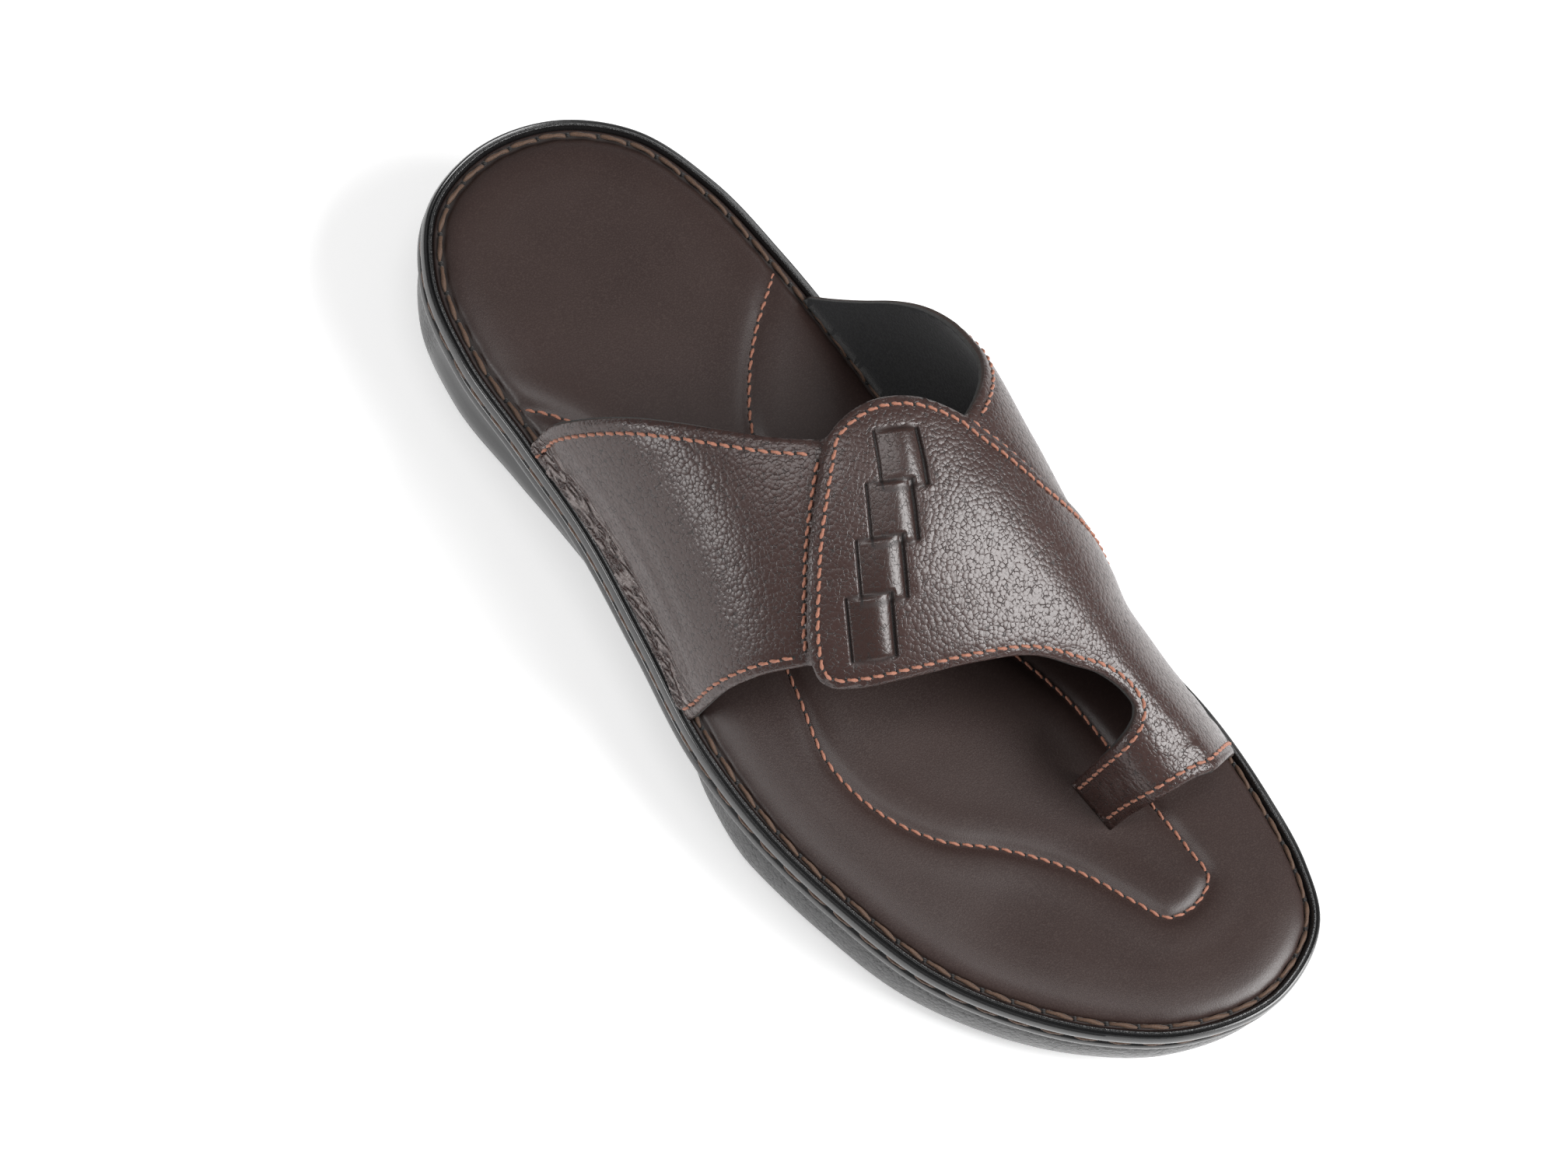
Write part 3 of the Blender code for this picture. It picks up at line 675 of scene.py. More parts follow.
def pad_outline(tread_edge, first, last, side, margin):
    """Outline of one tread pad, inside the border and its row, on one side of the divider."""
    shape = offset(tread_edge, -TREAD_BORDER - margin)
    shape = clip(shape, np.array([0.0, first + margin]), np.array([0.0, 1.0]))
    shape = clip(shape, np.array([0.0, last - margin]), np.array([0.0, -1.0]))
    if side:
        low = np.array([middle_x(tread_edge, first), first])
        high = np.array([middle_x(tread_edge, min(last, DIVIDER_LAST)), last])
        line = (high - low) / np.linalg.norm(high - low)
        normal = np.array([line[1], -line[0]]) * side
        shape = clip(shape, low + normal * (TREAD_DIVIDER / 2 + margin), normal)
    return without_near_points(shape)


def tread_pads(margin):
    """Outlines of all the tread pads at a margin."""
    tread_edge = side_ring(welt_line(SOLID_POINTS), SIDE_ROWS[-1])[:, :2]
    return [pad_outline(tread_edge, first, last, side, margin)
            for first, last, split in TREAD_ROWS for side in ((-1, 1) if split else (0,))]


def tread(ring):
    """Bottom of the sole inside its lower edge: land, grooves and raised pads."""
    points = [tuple(point) for point in ring]
    edges = loop_edges(0, len(ring))
    for margin, rise in PAD_LOOPS:
        for shape in tread_pads(margin):
            edges += loop_edges(len(points), len(shape))
            height = along(UNDERSIDE, shape[:, 1]) + rise
            points += [(x, y, z) for (x, y), z in zip(shape, height)]
    return points, triangulate([point[:2] for point in points], edges, len(ring))


def sole_masks(loop, rank):
    """Share of leather grain, of gloss and of rough lip at each ring and point of the sole."""
    step, bolster, lip = (SIDE_NAMES.index(name) for name in ("step", "bolster full", "lip top"))
    hollow = np.minimum(along(SCOOP, loop[:, 1]) / SCOOP_DEPTH, 1.0)
    in_panel = ease((rank - step - PANEL_TOP) * 5) * ease((bolster + PANEL_FOOT - rank) * 5)
    gloss = in_panel[:, None] * ease((hollow - PANEL_HOLLOW) * 4)[None, :]
    grain = ease((rank - step - GRAIN_TOP) * 4)[:, None] * (1 - gloss)
    return grain.ravel(), gloss.ravel(), np.repeat(bump_curve(rank - lip, LIP_SPREAD), len(loop))


def make_sole(finish):
    loop = welt_line(FINE_POINTS)
    count = len(loop)
    rings = smooth_rows([side_ring(loop, row) for row in SIDE_ROWS], SIDE_STEPS)
    grain, gloss, lip = sole_masks(loop, np.arange(len(rings)) / SIDE_STEPS)
    points, faces = stacked(rings)
    bottom, triangles = tread(rings[-1])
    start = len(points) - count
    points += bottom[count:]
    grain = np.append(grain, np.full(len(points) - len(grain), TREAD_GRAIN))
    faces += [tuple(start + corner for corner in face) for face in triangles]
    fill(points, faces, 0, rings[0], middle_points(loop, rings[0], SIDE_ROWS[0][-1], *CUP_MIDDLE))
    masks = {"grain": grain, "gloss": gloss, "lip": lip}
    values = {name: padded_to(mask, len(points)) for name, mask in masks.items()}
    made = mesh_piece("moulded_sole", points, faces, [finish], values=values,
                      crisp=True)
    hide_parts("outsole")
    return made


def tread_marks(finish):
    """Short raised bars on the pads and dashes on the land round them."""
    marks = []
    for shape in tread_pads(PAD_LOOPS[-1][0] + BAR_MARGIN):
        low, high = shape.min(axis=0), shape.max(axis=0)
        centres = lattice(low, high, BAR_PITCH)
        for centre in centres[inside(centres, shape)]:
            way = 1 if int((centre[0] - low[0]) / (BAR_PITCH / 2)) % 2 else -1
            marks.append((centre, math.radians(90 + BAR_SLANT * way), PAD_BAR))
    for shape in tread_pads(DASH_MARGIN):
        ring = respaced(np.vstack([shape, shape[:1]]), pitch=DASH_PITCH)
        for a, b in zip(ring[:-1], ring[1:]):
            marks.append(((a + b) / 2, math.atan2(b[1] - a[1], b[0] - a[0]), LAND_DASH))
    points = []
    faces = []
    for centre, angle, (length, width, root, face) in marks:
        way = np.array([math.cos(angle), math.sin(angle)]) * length / 2
        side = np.array([-math.sin(angle), math.cos(angle)]) * width / 2
        under = float(along(UNDERSIDE, centre[1]))
        first = len(points)
        for spread, height in ((1.0, under + root), (MARK_TAPER, under + face)):
            for a, b in ((-1, -1), (1, -1), (1, 1), (-1, 1)):
                x, y = centre + way * a * spread + side * b * spread
                points.append((x, y, height))
        faces += bridge(first, first + 4, 4)
        faces.append((first, first + 1, first + 2, first + 3))
        faces.append((first + 7, first + 6, first + 5, first + 4))
    return mesh_piece("tread_marks", points, faces, [finish],
                      values={"grain": [MARK_GRAIN] * len(points)}, crisp=True)


# Footbed

def quilt_path():
    return smooth_path(QUILT_SEAM, pitch=QUILT_PITCH)


def quilt_relief(points):
    """Trough of the quilted seam and the puff of the panels beside it."""
    gap = nearest(points, quilt_path())
    depth, width = QUILT_TROUGH
    height, distance, spread = QUILT_PUFF
    return height * bump_curve(gap - distance, spread) - depth * bump_curve(gap, width)


def heel_to_toe(points, heel, toe):
    """A value that changes from the heel to the toe, one for each point."""
    return heel + (toe - heel) * ease((points[:, 1] - WAIST[0]) / (WAIST[1] - WAIST[0]))


def on_pad(plan, lift=0.0):
    """Plan points set on the footbed's top, in the trough of its seam too."""
    reach = -nearest(plan, welt_line(FINE_POINTS))
    top_rows = FOOTBED_ROWS[FOOTBED_NAMES.index("stitch line"):]
    profile = sorted((row[1], row[3]) for row in top_rows)
    return over_welt(plan, along(profile, reach) + quilt_relief(plan) + lift)


def footbed_rings(loop, pad_foot):
    """Rings of the footbed up to its broad top, pulled by the stitches and the seam."""
    rows = [over_welt(offset(loop, heel_to_toe(loop, heel_reach, toe_reach)), lift)
            for _, heel_reach, toe_reach, lift in FOOTBED_ROWS]
    rings = smooth_rows(rows, FOOTBED_STEPS)
    stitches = round(lengths(loop)[-1] / WELT_PITCH)
    pull = STITCH_PULL * np.cos(2 * math.pi * stitches * np.arange(len(loop)) / len(loop))
    for k in range(pad_foot - 3, len(rings)):
        share = ease((k - pad_foot) / (2.0 * FOOTBED_STEPS))
        rings[k][:, 2] -= pull * bump_curve(k - pad_foot - PULL_PLACE[0], PULL_PLACE[1])
        rings[k][:, 2] += quilt_relief(rings[k][:, :2]) * share
    return rings


def pad_points(top):
    """Plan points of the broad top: a lattice, with rows beside the quilted seam."""
    seam = quilt_path()
    along_seam = np.gradient(seam, axis=0)
    across_seam = unit(np.column_stack([along_seam[:, 1], -along_seam[:, 0]]))
    field = lattice(top.min(axis=0), top.max(axis=0), PAD_GRID)
    field = field[nearest(field, seam) > SEAM_ROWS[-1] + SEAM_MARGIN]
    field = np.vstack([field] + [seam + across_seam * gap for gap in SEAM_ROWS])
    return field[inside(field, offset(top, -PAD_GRID / 2))]


def make_footbed(finish):
    loop = welt_line(FINE_POINTS)
    pad_foot = FOOTBED_NAMES.index("pad foot") * FOOTBED_STEPS
    rings = footbed_rings(loop, pad_foot)
    points, faces = stacked(rings)
    ring_rank = np.arange(len(rings)) - pad_foot
    # Share of painted shade in the crevice at each ring
    crevice_shade = np.repeat(bump_curve(ring_rank - CREVICE_SHADE_PLACE[0], CREVICE_SHADE_PLACE[1]), len(loop))
    fill(points, faces, len(points) - len(loop), rings[-1], on_pad(pad_points(rings[-1][:, :2])))
    fill(points, faces, 0, rings[0], middle_points(loop, rings[0], FOOTBED_ROWS[0][-1], *UNDER_MIDDLE))
    made = mesh_piece("padded_footbed", points, faces, [finish],
                      values={"crevice_shade": padded_to(crevice_shade, len(points))})
    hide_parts("footbed")
    return made


# Straps

def column(index):
    """One column of the arched sections, as station and value."""
    return [(row[0], row[index]) for row in ARCH]


def arch(station, turn):
    """Outer face of the vamp's own surface at a station and a turn round the arch."""
    station, turn = np.broadcast_arrays(np.asarray(station, float), np.asarray(turn, float))
    ridge_x = along(column(1), station)
    welt = along(WELT_HEIGHT, station)
    ridge_z = welt + along(column(2), station)
    toe_share = along(column(5), station)
    foot_reach = along(FOOT_REACH, station)
    inner_x = along([(row[0], row[1]) for row in PLAN], station) - foot_reach
    outer_edge_x = along([(row[0], row[2]) for row in PLAN], station) + foot_reach
    outer_x = outer_edge_x * (1 - toe_share) + BETWEEN_TOES_X * toe_share
    on_inner = turn <= 1
    climb = np.where(on_inner, turn, 2 - turn) * np.pi / 2
    foot_x = np.where(on_inner, inner_x, outer_x)
    foot_z = welt + STRAP_LIFT + np.where(on_inner, 0.0, toe_share * PAD_HEIGHT)
    bulge = np.where(on_inner, -along(column(3), station), along(column(4), station))
    x = ridge_x + (foot_x - ridge_x) * np.cos(climb) + bulge * np.sin(2 * climb)
    z = foot_z + (ridge_z - foot_z) * np.sin(climb)
    return np.stack([x, station, z], axis=-1)


def arch_slopes(station, turn):
    """Change of place with station and with length round the arch, per chart millimetre."""
    turn = np.clip(turn, TURN_END, 2 - TURN_END)
    by_station = arch(station + STATION_STEP, turn) - arch(station - STATION_STEP, turn)
    by_turn = arch(station, turn + TURN_STEP) - arch(station, turn - TURN_STEP)
    return by_station / (2 * STATION_STEP), by_turn / (2 * TURN_STEP * TURN_LENGTH)


def arch_normal(station, turn):
    """Outward direction of the arch."""
    by_station, by_turn = arch_slopes(station, turn)
    return unit(np.cross(by_turn, by_station))


def chart(path):
    """Strap outline as lengths on the leather, station and distance from the ridge."""
    return np.array([(station, (turn - 1) * TURN_LENGTH) for station, turn in path])


def turn_of(points):
    """Turn round the arch of chart points."""
    return np.clip(points[:, 1] / TURN_LENGTH + 1, 0.0, 2.0)


def on_strap(points, level=0.0):
    """Places of chart points at a level over the vamp's own surface."""
    normal = arch_normal(points[:, 0], turn_of(points))
    return arch(points[:, 0], turn_of(points)) + normal * np.asarray(level).reshape(-1, 1)


def outline_path(path, pitch=EDGE_PITCH):
    return smooth_path(chart(path), pitch=pitch)


def foot_path(first, last, turn):
    count = int(round(abs(last - first) / EDGE_PITCH)) + 1
    return chart([(station, turn) for station in np.linspace(first, last, count)])


def side_step(path, run):
    """Path moved sideways on the leather by true millimetres, to the left of its direction."""
    direction = np.gradient(path, axis=0)
    by_station, by_turn = arch_slopes(path[:, 0], turn_of(path))
    forward = by_station * direction[:, :1] + by_turn * direction[:, 1:]
    side = unit(np.cross(forward, np.cross(by_turn, by_station)))
    aa = (by_station * by_station).sum(axis=1)
    ab = (by_station * by_turn).sum(axis=1)
    bb = (by_turn * by_turn).sum(axis=1)
    ra = (by_station * side).sum(axis=1)
    rb = (by_turn * side).sum(axis=1)
    scale = aa * bb - ab * ab
    move = np.column_stack([(ra * bb - rb * ab) / scale, (rb * aa - ra * ab) / scale])
    return path + move * run


def strap_boundary():
    """Edge of all the straps together, with the level of each stretch and whether it is free."""
    vamp, quarter = 0.0, -VAMP_STEP
    foot_seam = VAMP_INNER_EDGE[-1][0]
    stretches = [
        (outline_path(OUTER_REAR), quarter, True),
        (outline_path(VAMP_TOP), vamp, True),
        (outline_path(INNER_COLLAR), quarter, True),
        (foot_path(INNER_COLLAR[-1][0], foot_seam - STEP_RUN, 0.0)[1:], quarter, False),
        (foot_path(foot_seam, RING_FRONT[0][0], 0.0)[:-1], vamp, False),
        (outline_path(RING_FRONT), vamp, True),
        (foot_path(RING_FRONT[-1][0], WINDOW[0][0], 2.0)[1:-1], vamp, False),
        (outline_path(WINDOW), vamp, True),
        (outline_path(OUTER_FRONT), quarter, True),
        (foot_path(OUTER_FRONT[-1][0], OUTER_REAR[0][0], 2.0)[1:-1], quarter, False),
    ]
    points = np.vstack([path for path, _, _ in stretches])
    levels = np.concatenate([np.full(len(path), level) for path, level, _ in stretches])
    free = np.concatenate([np.full(len(path), is_free) for path, _, is_free in stretches])
    starts = np.cumsum([0] + [len(path) for path, _, _ in stretches])
    return points, levels, free, starts


def vamp_outline():
    """Closed outline of the vamp and its toe ring on the leather."""
    foot = foot_path(VAMP_INNER_EDGE[-1][0], RING_FRONT[0][0], 0.0)
    ring_foot = foot_path(RING_FRONT[-1][0], WINDOW[0][0], 2.0)
    return np.vstack([outline_path(VAMP_TOP), outline_path(VAMP_INNER_EDGE), foot,
                      outline_path(RING_FRONT), ring_foot, outline_path(WINDOW),
                      outline_path(VAMP_OUTER_EDGE)[::-1]])


def weave_centre(index):
    return np.array(WEAVE_FIRST) + index * np.array(WEAVE_STEP)


def weave_place(points, index):
    """Place of chart points in one pillow square: -1 to 1 across it and along it."""
    across = np.array(WEAVE_ACROSS) * CHART_SCALE
    lengthways = np.array(WEAVE_ALONG) * CHART_SCALE
    frame_inverse = np.linalg.inv(np.column_stack([across, lengthways]))
    return ((points - chart([weave_centre(index)])[0]) @ frame_inverse.T).T


def weave_relief(points):
    """Height, painted shade and smoothness of the woven ladder: each square climbs from its left
    slit, rolls over and dives into its right one."""
    height = np.zeros(len(points))
    painted_shade = np.zeros(len(points))
    smooth = np.zeros(len(points))
    reach_across, reach_along, sharp_across, sharp_along = WEAVE_SIDES
    line_width, line_depth, line_shade = END_LINE
    for index in range(WEAVE_COUNT):
        across, lengthways = weave_place(points, index)
        within = ease((reach_across - np.abs(across)) * sharp_across)
        within *= ease((reach_along - np.abs(lengthways)) * sharp_along)
        t = np.clip((across + 1) / 2, 0, 1)
        roll = np.sin(math.pi * t ** ROLL_LEAN) ** ROLL_FULLNESS * WEAVE_RISE - WEAVE_DIP
        height = height * (1 - within) + roll * (1 - WEAVE_CROWN * lengthways ** 2) * within
        smooth = np.maximum(smooth, within)
        for edge, width in WEAVE_SLITS:
            slit = bump_curve(across - edge, width)
            slit *= ease((SLIT_REACH - np.abs(lengthways)) * sharp_along)
            height = height - SLIT_DEPTH * slit
            # Painted shade in the slit
            painted_shade = np.maximum(painted_shade, slit)
        for edge in (-1.0, 1.0):
            line = bump_curve(lengthways - edge, line_width)
            line *= ease((END_LINE_REACH - np.abs(across)) * sharp_along)
            height = height - line_depth * line
            # Painted shade along the square's end line
            painted_shade = np.maximum(painted_shade, line_shade * line)
    return height, painted_shade, smooth


def weave_grid():
    """Points in rows along the sides of the woven squares."""
    grid = np.empty((0, 2))
    across, lengthways = np.meshgrid(*(np.arange(*run) for run in WEAVE_MESH))
    for index in range(WEAVE_COUNT):
        square = chart([weave_centre(index)])
        square = square + across.reshape(-1, 1) * np.array(WEAVE_ACROSS) * CHART_SCALE
        square = square + lengthways.reshape(-1, 1) * np.array(WEAVE_ALONG) * CHART_SCALE
        if len(grid):
            square = square[nearest(square, grid) > WEAVE_GRID]
        grid = np.vstack([grid, square])
    return grid


def stitch_rows():
    """Rows of stitching on the straps, each a chart path and the level that it lies on."""
    vamp, quarter = 0.0, -VAMP_STEP
    around_vamp = np.vstack([
        outline_path(VAMP_INNER_EDGE)[::-1], outline_path(VAMP_TOP)[::-1][1:],
        outline_path(VAMP_OUTER_EDGE)[1:], outline_path(WINDOW)[::-1][1:]])
    rows = [(respaced(side_step(around_vamp, -VAMP_ROW_REACH), pitch=PATH_PITCH), vamp)]
    beside_edges = [
        # edge, distance to its left, points left out at the start and at the end, level
        (RING_FRONT, 2.6, 1, 1, vamp),
        (VAMP_OUTER_EDGE, 1.3, 4, 2, quarter),
        (VAMP_INNER_EDGE, -1.3, 2, 0, quarter),
        (OUTER_REAR, 3.4, 2, 2, quarter),
        (OUTER_FRONT, 2.6, 2, 2, quarter),
        (INNER_COLLAR, 3.0, 2, 2, quarter),
    ]
    for edge, distance, start, end, level in beside_edges:
        path = side_step(outline_path(edge), distance)
        rows.append((respaced(path[start:len(path) - end], pitch=PATH_PITCH), level))
    return rows


def crease_gap(surface, path):
    """Distance from each place on the straps to a crease's line."""
    return nearest(surface, on_strap(smooth_path(chart(path), pitch=CREASE_PITCH)))


def crease_relief(surface):
    """Soft troughs and ridges of the creases, and the flare of the outer quarter's foot."""
    foot = foot_path(OUTER_FRONT[-1][0], OUTER_REAR[0][0], 2.0)
    relief = BASE_FLARE * (1 - ease(nearest(surface, on_strap(foot)) / BASE_FLARE_HEIGHT))
    share, place, spread = CREASE_SHOULDERS
    for path, depth, width in CREASES:
        gap = crease_gap(surface, path)
        shoulders = bump_curve(gap - place * width, spread * width)
        relief += depth * (share * shoulders - bump_curve(gap, width))
    return relief


def strap_layout():
    """Plan of the straps on the leather: points, levels, edges, rim size and which rim is free."""
    points, levels, free, starts = strap_boundary()
    edges = loop_edges(0, len(points))
    seams = (
        (VAMP_OUTER_EDGE, starts[1], starts[8] - 1, starts[1] - 1, starts[8], 1.0),
        (VAMP_INNER_EDGE, starts[2] - 1, starts[4], starts[2], starts[4] - 1, -1.0),
    )
    all_points, all_levels = [points], [levels]
    lines = [points]
    total = len(points)
    for path, high_start, high_end, low_start, low_end, way in seams:
        high = outline_path(path)[1:-1]
        low = side_step(outline_path(path), way * STEP_RUN)[1:-1]
        for line, level, first, last in ((high, 0.0, high_start, high_end),
                                         (low, -VAMP_STEP, low_start, low_end)):
            chain = [first] + list(range(total, total + len(line))) + [last]
            edges += list(zip(chain[:-1], chain[1:]))
            all_points.append(line)
            all_levels.append(np.full(len(line), level))
            lines.append(line)
            total += len(line)
    low, high = points.min(axis=0), points.max(axis=0)
    grid = lattice(low, high, STRAP_GRID)
    weave = weave_grid()
    base = lattice(low, high, BASE_GRID)
    base = base[(base[:, 0] < OUTER_FRONT[0][0]) & (turn_of(base) > CRINKLE_TURN)]
    grid = grid[(grid[:, 0] > OUTER_FRONT[0][0]) | (turn_of(grid) < CRINKLE_TURN)]
    grid = np.vstack([grid[nearest(grid, weave) > WEAVE_MARGIN], base])
    grid = grid[inside(grid, points)]
    grid = grid[nearest(grid, np.vstack(lines)) > LINE_MARGIN]
    grid = np.vstack([grid, weave])
    on_vamp = inside(grid, vamp_outline())
    all_points.append(grid)
    all_levels.append(np.where(on_vamp, 0.0, -VAMP_STEP))
    return np.vstack(all_points), np.concatenate(all_levels), edges, len(points), free


def make_straps(leather, edge_finish, lining):
    plan, levels, edges, rim_count, free = strap_layout()
    turn = turn_of(plan)
    surface = on_strap(plan)
    normal = arch_normal(plan[:, 0], turn)
    relief, painted_shade, smooth = weave_relief(plan)
    for path, _ in stitch_rows():
        relief -= ROW_GROOVE[0] * bump_curve(nearest(surface, on_strap(path)), ROW_GROOVE[1])
    relief += crease_relief(surface)
    crinkle = np.zeros(len(plan))
    for path, width, amount in CRINKLES:
        crinkle = np.maximum(crinkle, amount * bump_curve(crease_gap(surface, path), width))
    edge_gap = nearest(surface, surface[:rim_count][free])
    relief -= EDGE_ROUNDING[0] * bump_curve(edge_gap, EDGE_ROUNDING[1])
    on_foot = (turn < SAME_POINT) | (turn > 2 - SAME_POINT)
    relief[on_foot] = 0.0
    outer = surface + normal * (levels + relief)[:, None]
    inner = surface - normal * WALL
    outer[on_foot, 2] = surface[on_foot, 2]
    inner[on_foot, 2] = surface[on_foot, 2]
    total = len(plan)
    points = [outer, inner]
    depth = [np.zeros(total), np.ones(total)]
    faces = []
    finish = []
    for a, b, c in triangulate(plan, edges, rim_count):
        faces += [(a, b, c), (total + c, total + b, total + a)]
        finish += [0, 2]
    for share in EDGE_SHARES:
        points.append(outer[:rim_count] * (1 - share) + inner[:rim_count] * share)
        depth.append(np.full(rim_count, share))
    rings = [0] + [2 * total + k * rim_count for k in range(len(EDGE_SHARES))] + [total]
    for k in range(1, len(rings)):
        faces += bridge(rings[k - 1], rings[k], rim_count)
        finish += [1] * rim_count
    points = np.vstack(points)
    values = {"painted_shade": painted_shade, "smooth": smooth, "crinkle": crinkle, "depth": np.concatenate(depth)}
    values = {name: padded_to(numbers, len(points)) for name, numbers in values.items()}
    made = mesh_piece("leather_straps", points, faces, [leather, edge_finish, lining],
                      face_finish=finish, values=values)
    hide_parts("upper")
    return made


# Stitches

def stitch_run(points, normals, pitch, radius, share, lean, sides=8, rings=11):
    """Stitches along a path, each a short thread that dives into the leather at both ends."""
    length = lengths(points)
    count = max(1, int(round(length[-1] / pitch)))
    step = length[-1] / count
    t = np.linspace(0, 1, rings)
    start = np.arange(count)[:, None] * step + step * (1 - share) / 2
    start = start + RANDOM.uniform(-PITCH_PLAY, PITCH_PLAY, (count, 1)) * step
    where = start + t[None, :] * step * share
    place = at_lengths(where, length, points)
    normal = at_lengths(where, length, normals)
    forward = unit(np.gradient(place, axis=1))
    side = np.cross(forward, normal)
    rise = radius * (np.sin(np.pi * t) ** THREAD_ARC[0] * THREAD_ARC[1] - THREAD_ARC[2])
    slant = (t - 0.5) * 2 * lean
    centre = place + normal * rise[None, :, None] + side * slant[None, :, None]
    thick = radius * (THREAD_END + (1 - THREAD_END) * np.sin(np.pi * t) ** 0.5)
    made = []
    for k in range(sides):
        angle = 2 * math.pi * k / sides
        spread = side * math.cos(angle) + normal * math.sin(angle)
        ply = 1 + PLY_DEPTH * np.cos(2 * angle - 2 * math.pi * PLY_TURNS * t)
        made.append(centre + spread * (thick * ply)[None, :, None])
    faces = []
    for first in range(0, count * rings * sides, rings * sides):
        last = first + (rings - 1) * sides
        for ring in range(first, last, sides):
            faces += bridge(ring, ring + sides, sides)
        faces.append(tuple(first + k for k in reversed(range(sides))))
        faces.append(tuple(last + k for k in range(sides)))
    return np.stack(made, axis=2).reshape(-1, 3), faces


def needle_holes(points, normals, pitch, radius, sides=6):
    """Low domes of painted shade where the thread goes through, one between each two stitches."""
    length = lengths(points)
    count = max(1, int(round(length[-1] / pitch)))
    where = np.linspace(0, length[-1], count + 1)
    place = at_lengths(where, length, points)
    normal = at_lengths(where, length, normals)
    forward = unit(np.gradient(place, axis=0))
    side = np.cross(forward, normal)
    made = [place + normal * radius * HOLE_RISE]
    for k in range(sides):
        angle = 2 * math.pi * k / sides
        made.append(place + (forward * math.cos(angle) + side * math.sin(angle)) * radius)
    made.append(place - normal * radius * HOLE_DROP)
    faces = []
    for first in range(0, len(where) * (sides + 2), sides + 2):
        for k in range(sides):
            a, b = first + 1 + k, first + 1 + (k + 1) % sides
            faces += [(first, a, b), (first + sides + 1, b, a)]
    return np.stack(made, axis=1).reshape(-1, 3), faces


def sewn(name, finish, kind, paths, sizes):
    """One piece of all the stitches or all the needle holes along some paths."""
    points = []
    faces = []
    total = 0
    for place, normal in paths:
        run_points, run_faces = kind(place, normal, *sizes)
        points.append(run_points)
        faces += [tuple(total + corner for corner in face) for face in run_faces]
        total += len(run_points)
    return mesh_piece(name, np.vstack(points), faces, [finish])


def upper_paths(lift):
    """Places and outward directions along the rows of the straps."""
    paths = []
    for path, level in stitch_rows():
        place = on_strap(path, level + lift + crease_relief(on_strap(path)))
        paths.append((place, arch_normal(path[:, 0], turn_of(path))))
    return paths


def facing_up(place):
    """One path with its outward direction straight up."""
    return [(place, np.tile([0.0, 0.0, 1.0], (len(place), 1)))]


def seam_path(lift):
    """Places along the quilted seam of the footbed."""
    return facing_up(on_pad(respaced(quilt_path(), pitch=PATH_PITCH)[1:-1], lift))


def welt_path(lift):
    """Places along the stitched flange of the footbed."""
    loop = welt_line(FINE_POINTS)
    loop = offset(loop, heel_to_toe(loop, *WELT_STITCH_REACH))
    return facing_up(over_welt(np.vstack([loop, loop[:1]]), lift))


def groove_path(lift):
    """Places along the groove between the beads of the sole."""
    loop = welt_line(FINE_POINTS)
    top, foot = (SIDE_ROWS[SIDE_NAMES.index(name)] for name in ("groove top", "groove foot"))
    place = (side_ring(loop, top) + side_ring(loop, foot)) / 2
    outward = offset(loop, 1.0) - loop
    place[:, :2] += outward * lift
    normal = np.column_stack([outward, np.zeros(len(loop))])
    return [(np.vstack([place, place[:1]]), np.vstack([normal, normal[:1]]))]


def make_stitches():
    orange = thread("orange_thread", *ORANGE_TONES)
    brown = thread("brown_thread", *BROWN_TONES)
    # Needle holes are dark domes of painted shade
    painted_shade = thread("needle_hole", *HOLE_SHADE_TONES)
    rows = [
        # names of the stitches and of the holes, slot, thread, paths, stitch sizes, hole sizes
        ("upper_stitching", "upper_needle_holes", "upper_leather", orange, upper_paths,
         UPPER_STITCH, UPPER_HOLE),
        ("footbed_stitching", "footbed_needle_holes", "footbed_leather", orange, seam_path,
         SEAM_STITCH, SEAM_HOLE),
        ("welt_stitching", "welt_needle_holes", "footbed_leather", brown, welt_path,
         WELT_STITCH, WELT_HOLE),
    ]
    for stitches, holes, slot, finish, paths, (lift, *sizes), (hole_lift, radius) in rows:
        sewn(stitches, finish, stitch_run, paths(lift), sizes)
        sewn(holes, painted_shade, needle_holes, paths(hole_lift), (sizes[0], radius))
    lift, *sizes = SIDE_STITCH
    sewn("side_stitching", brown, stitch_run, groove_path(lift), sizes)


# Materials

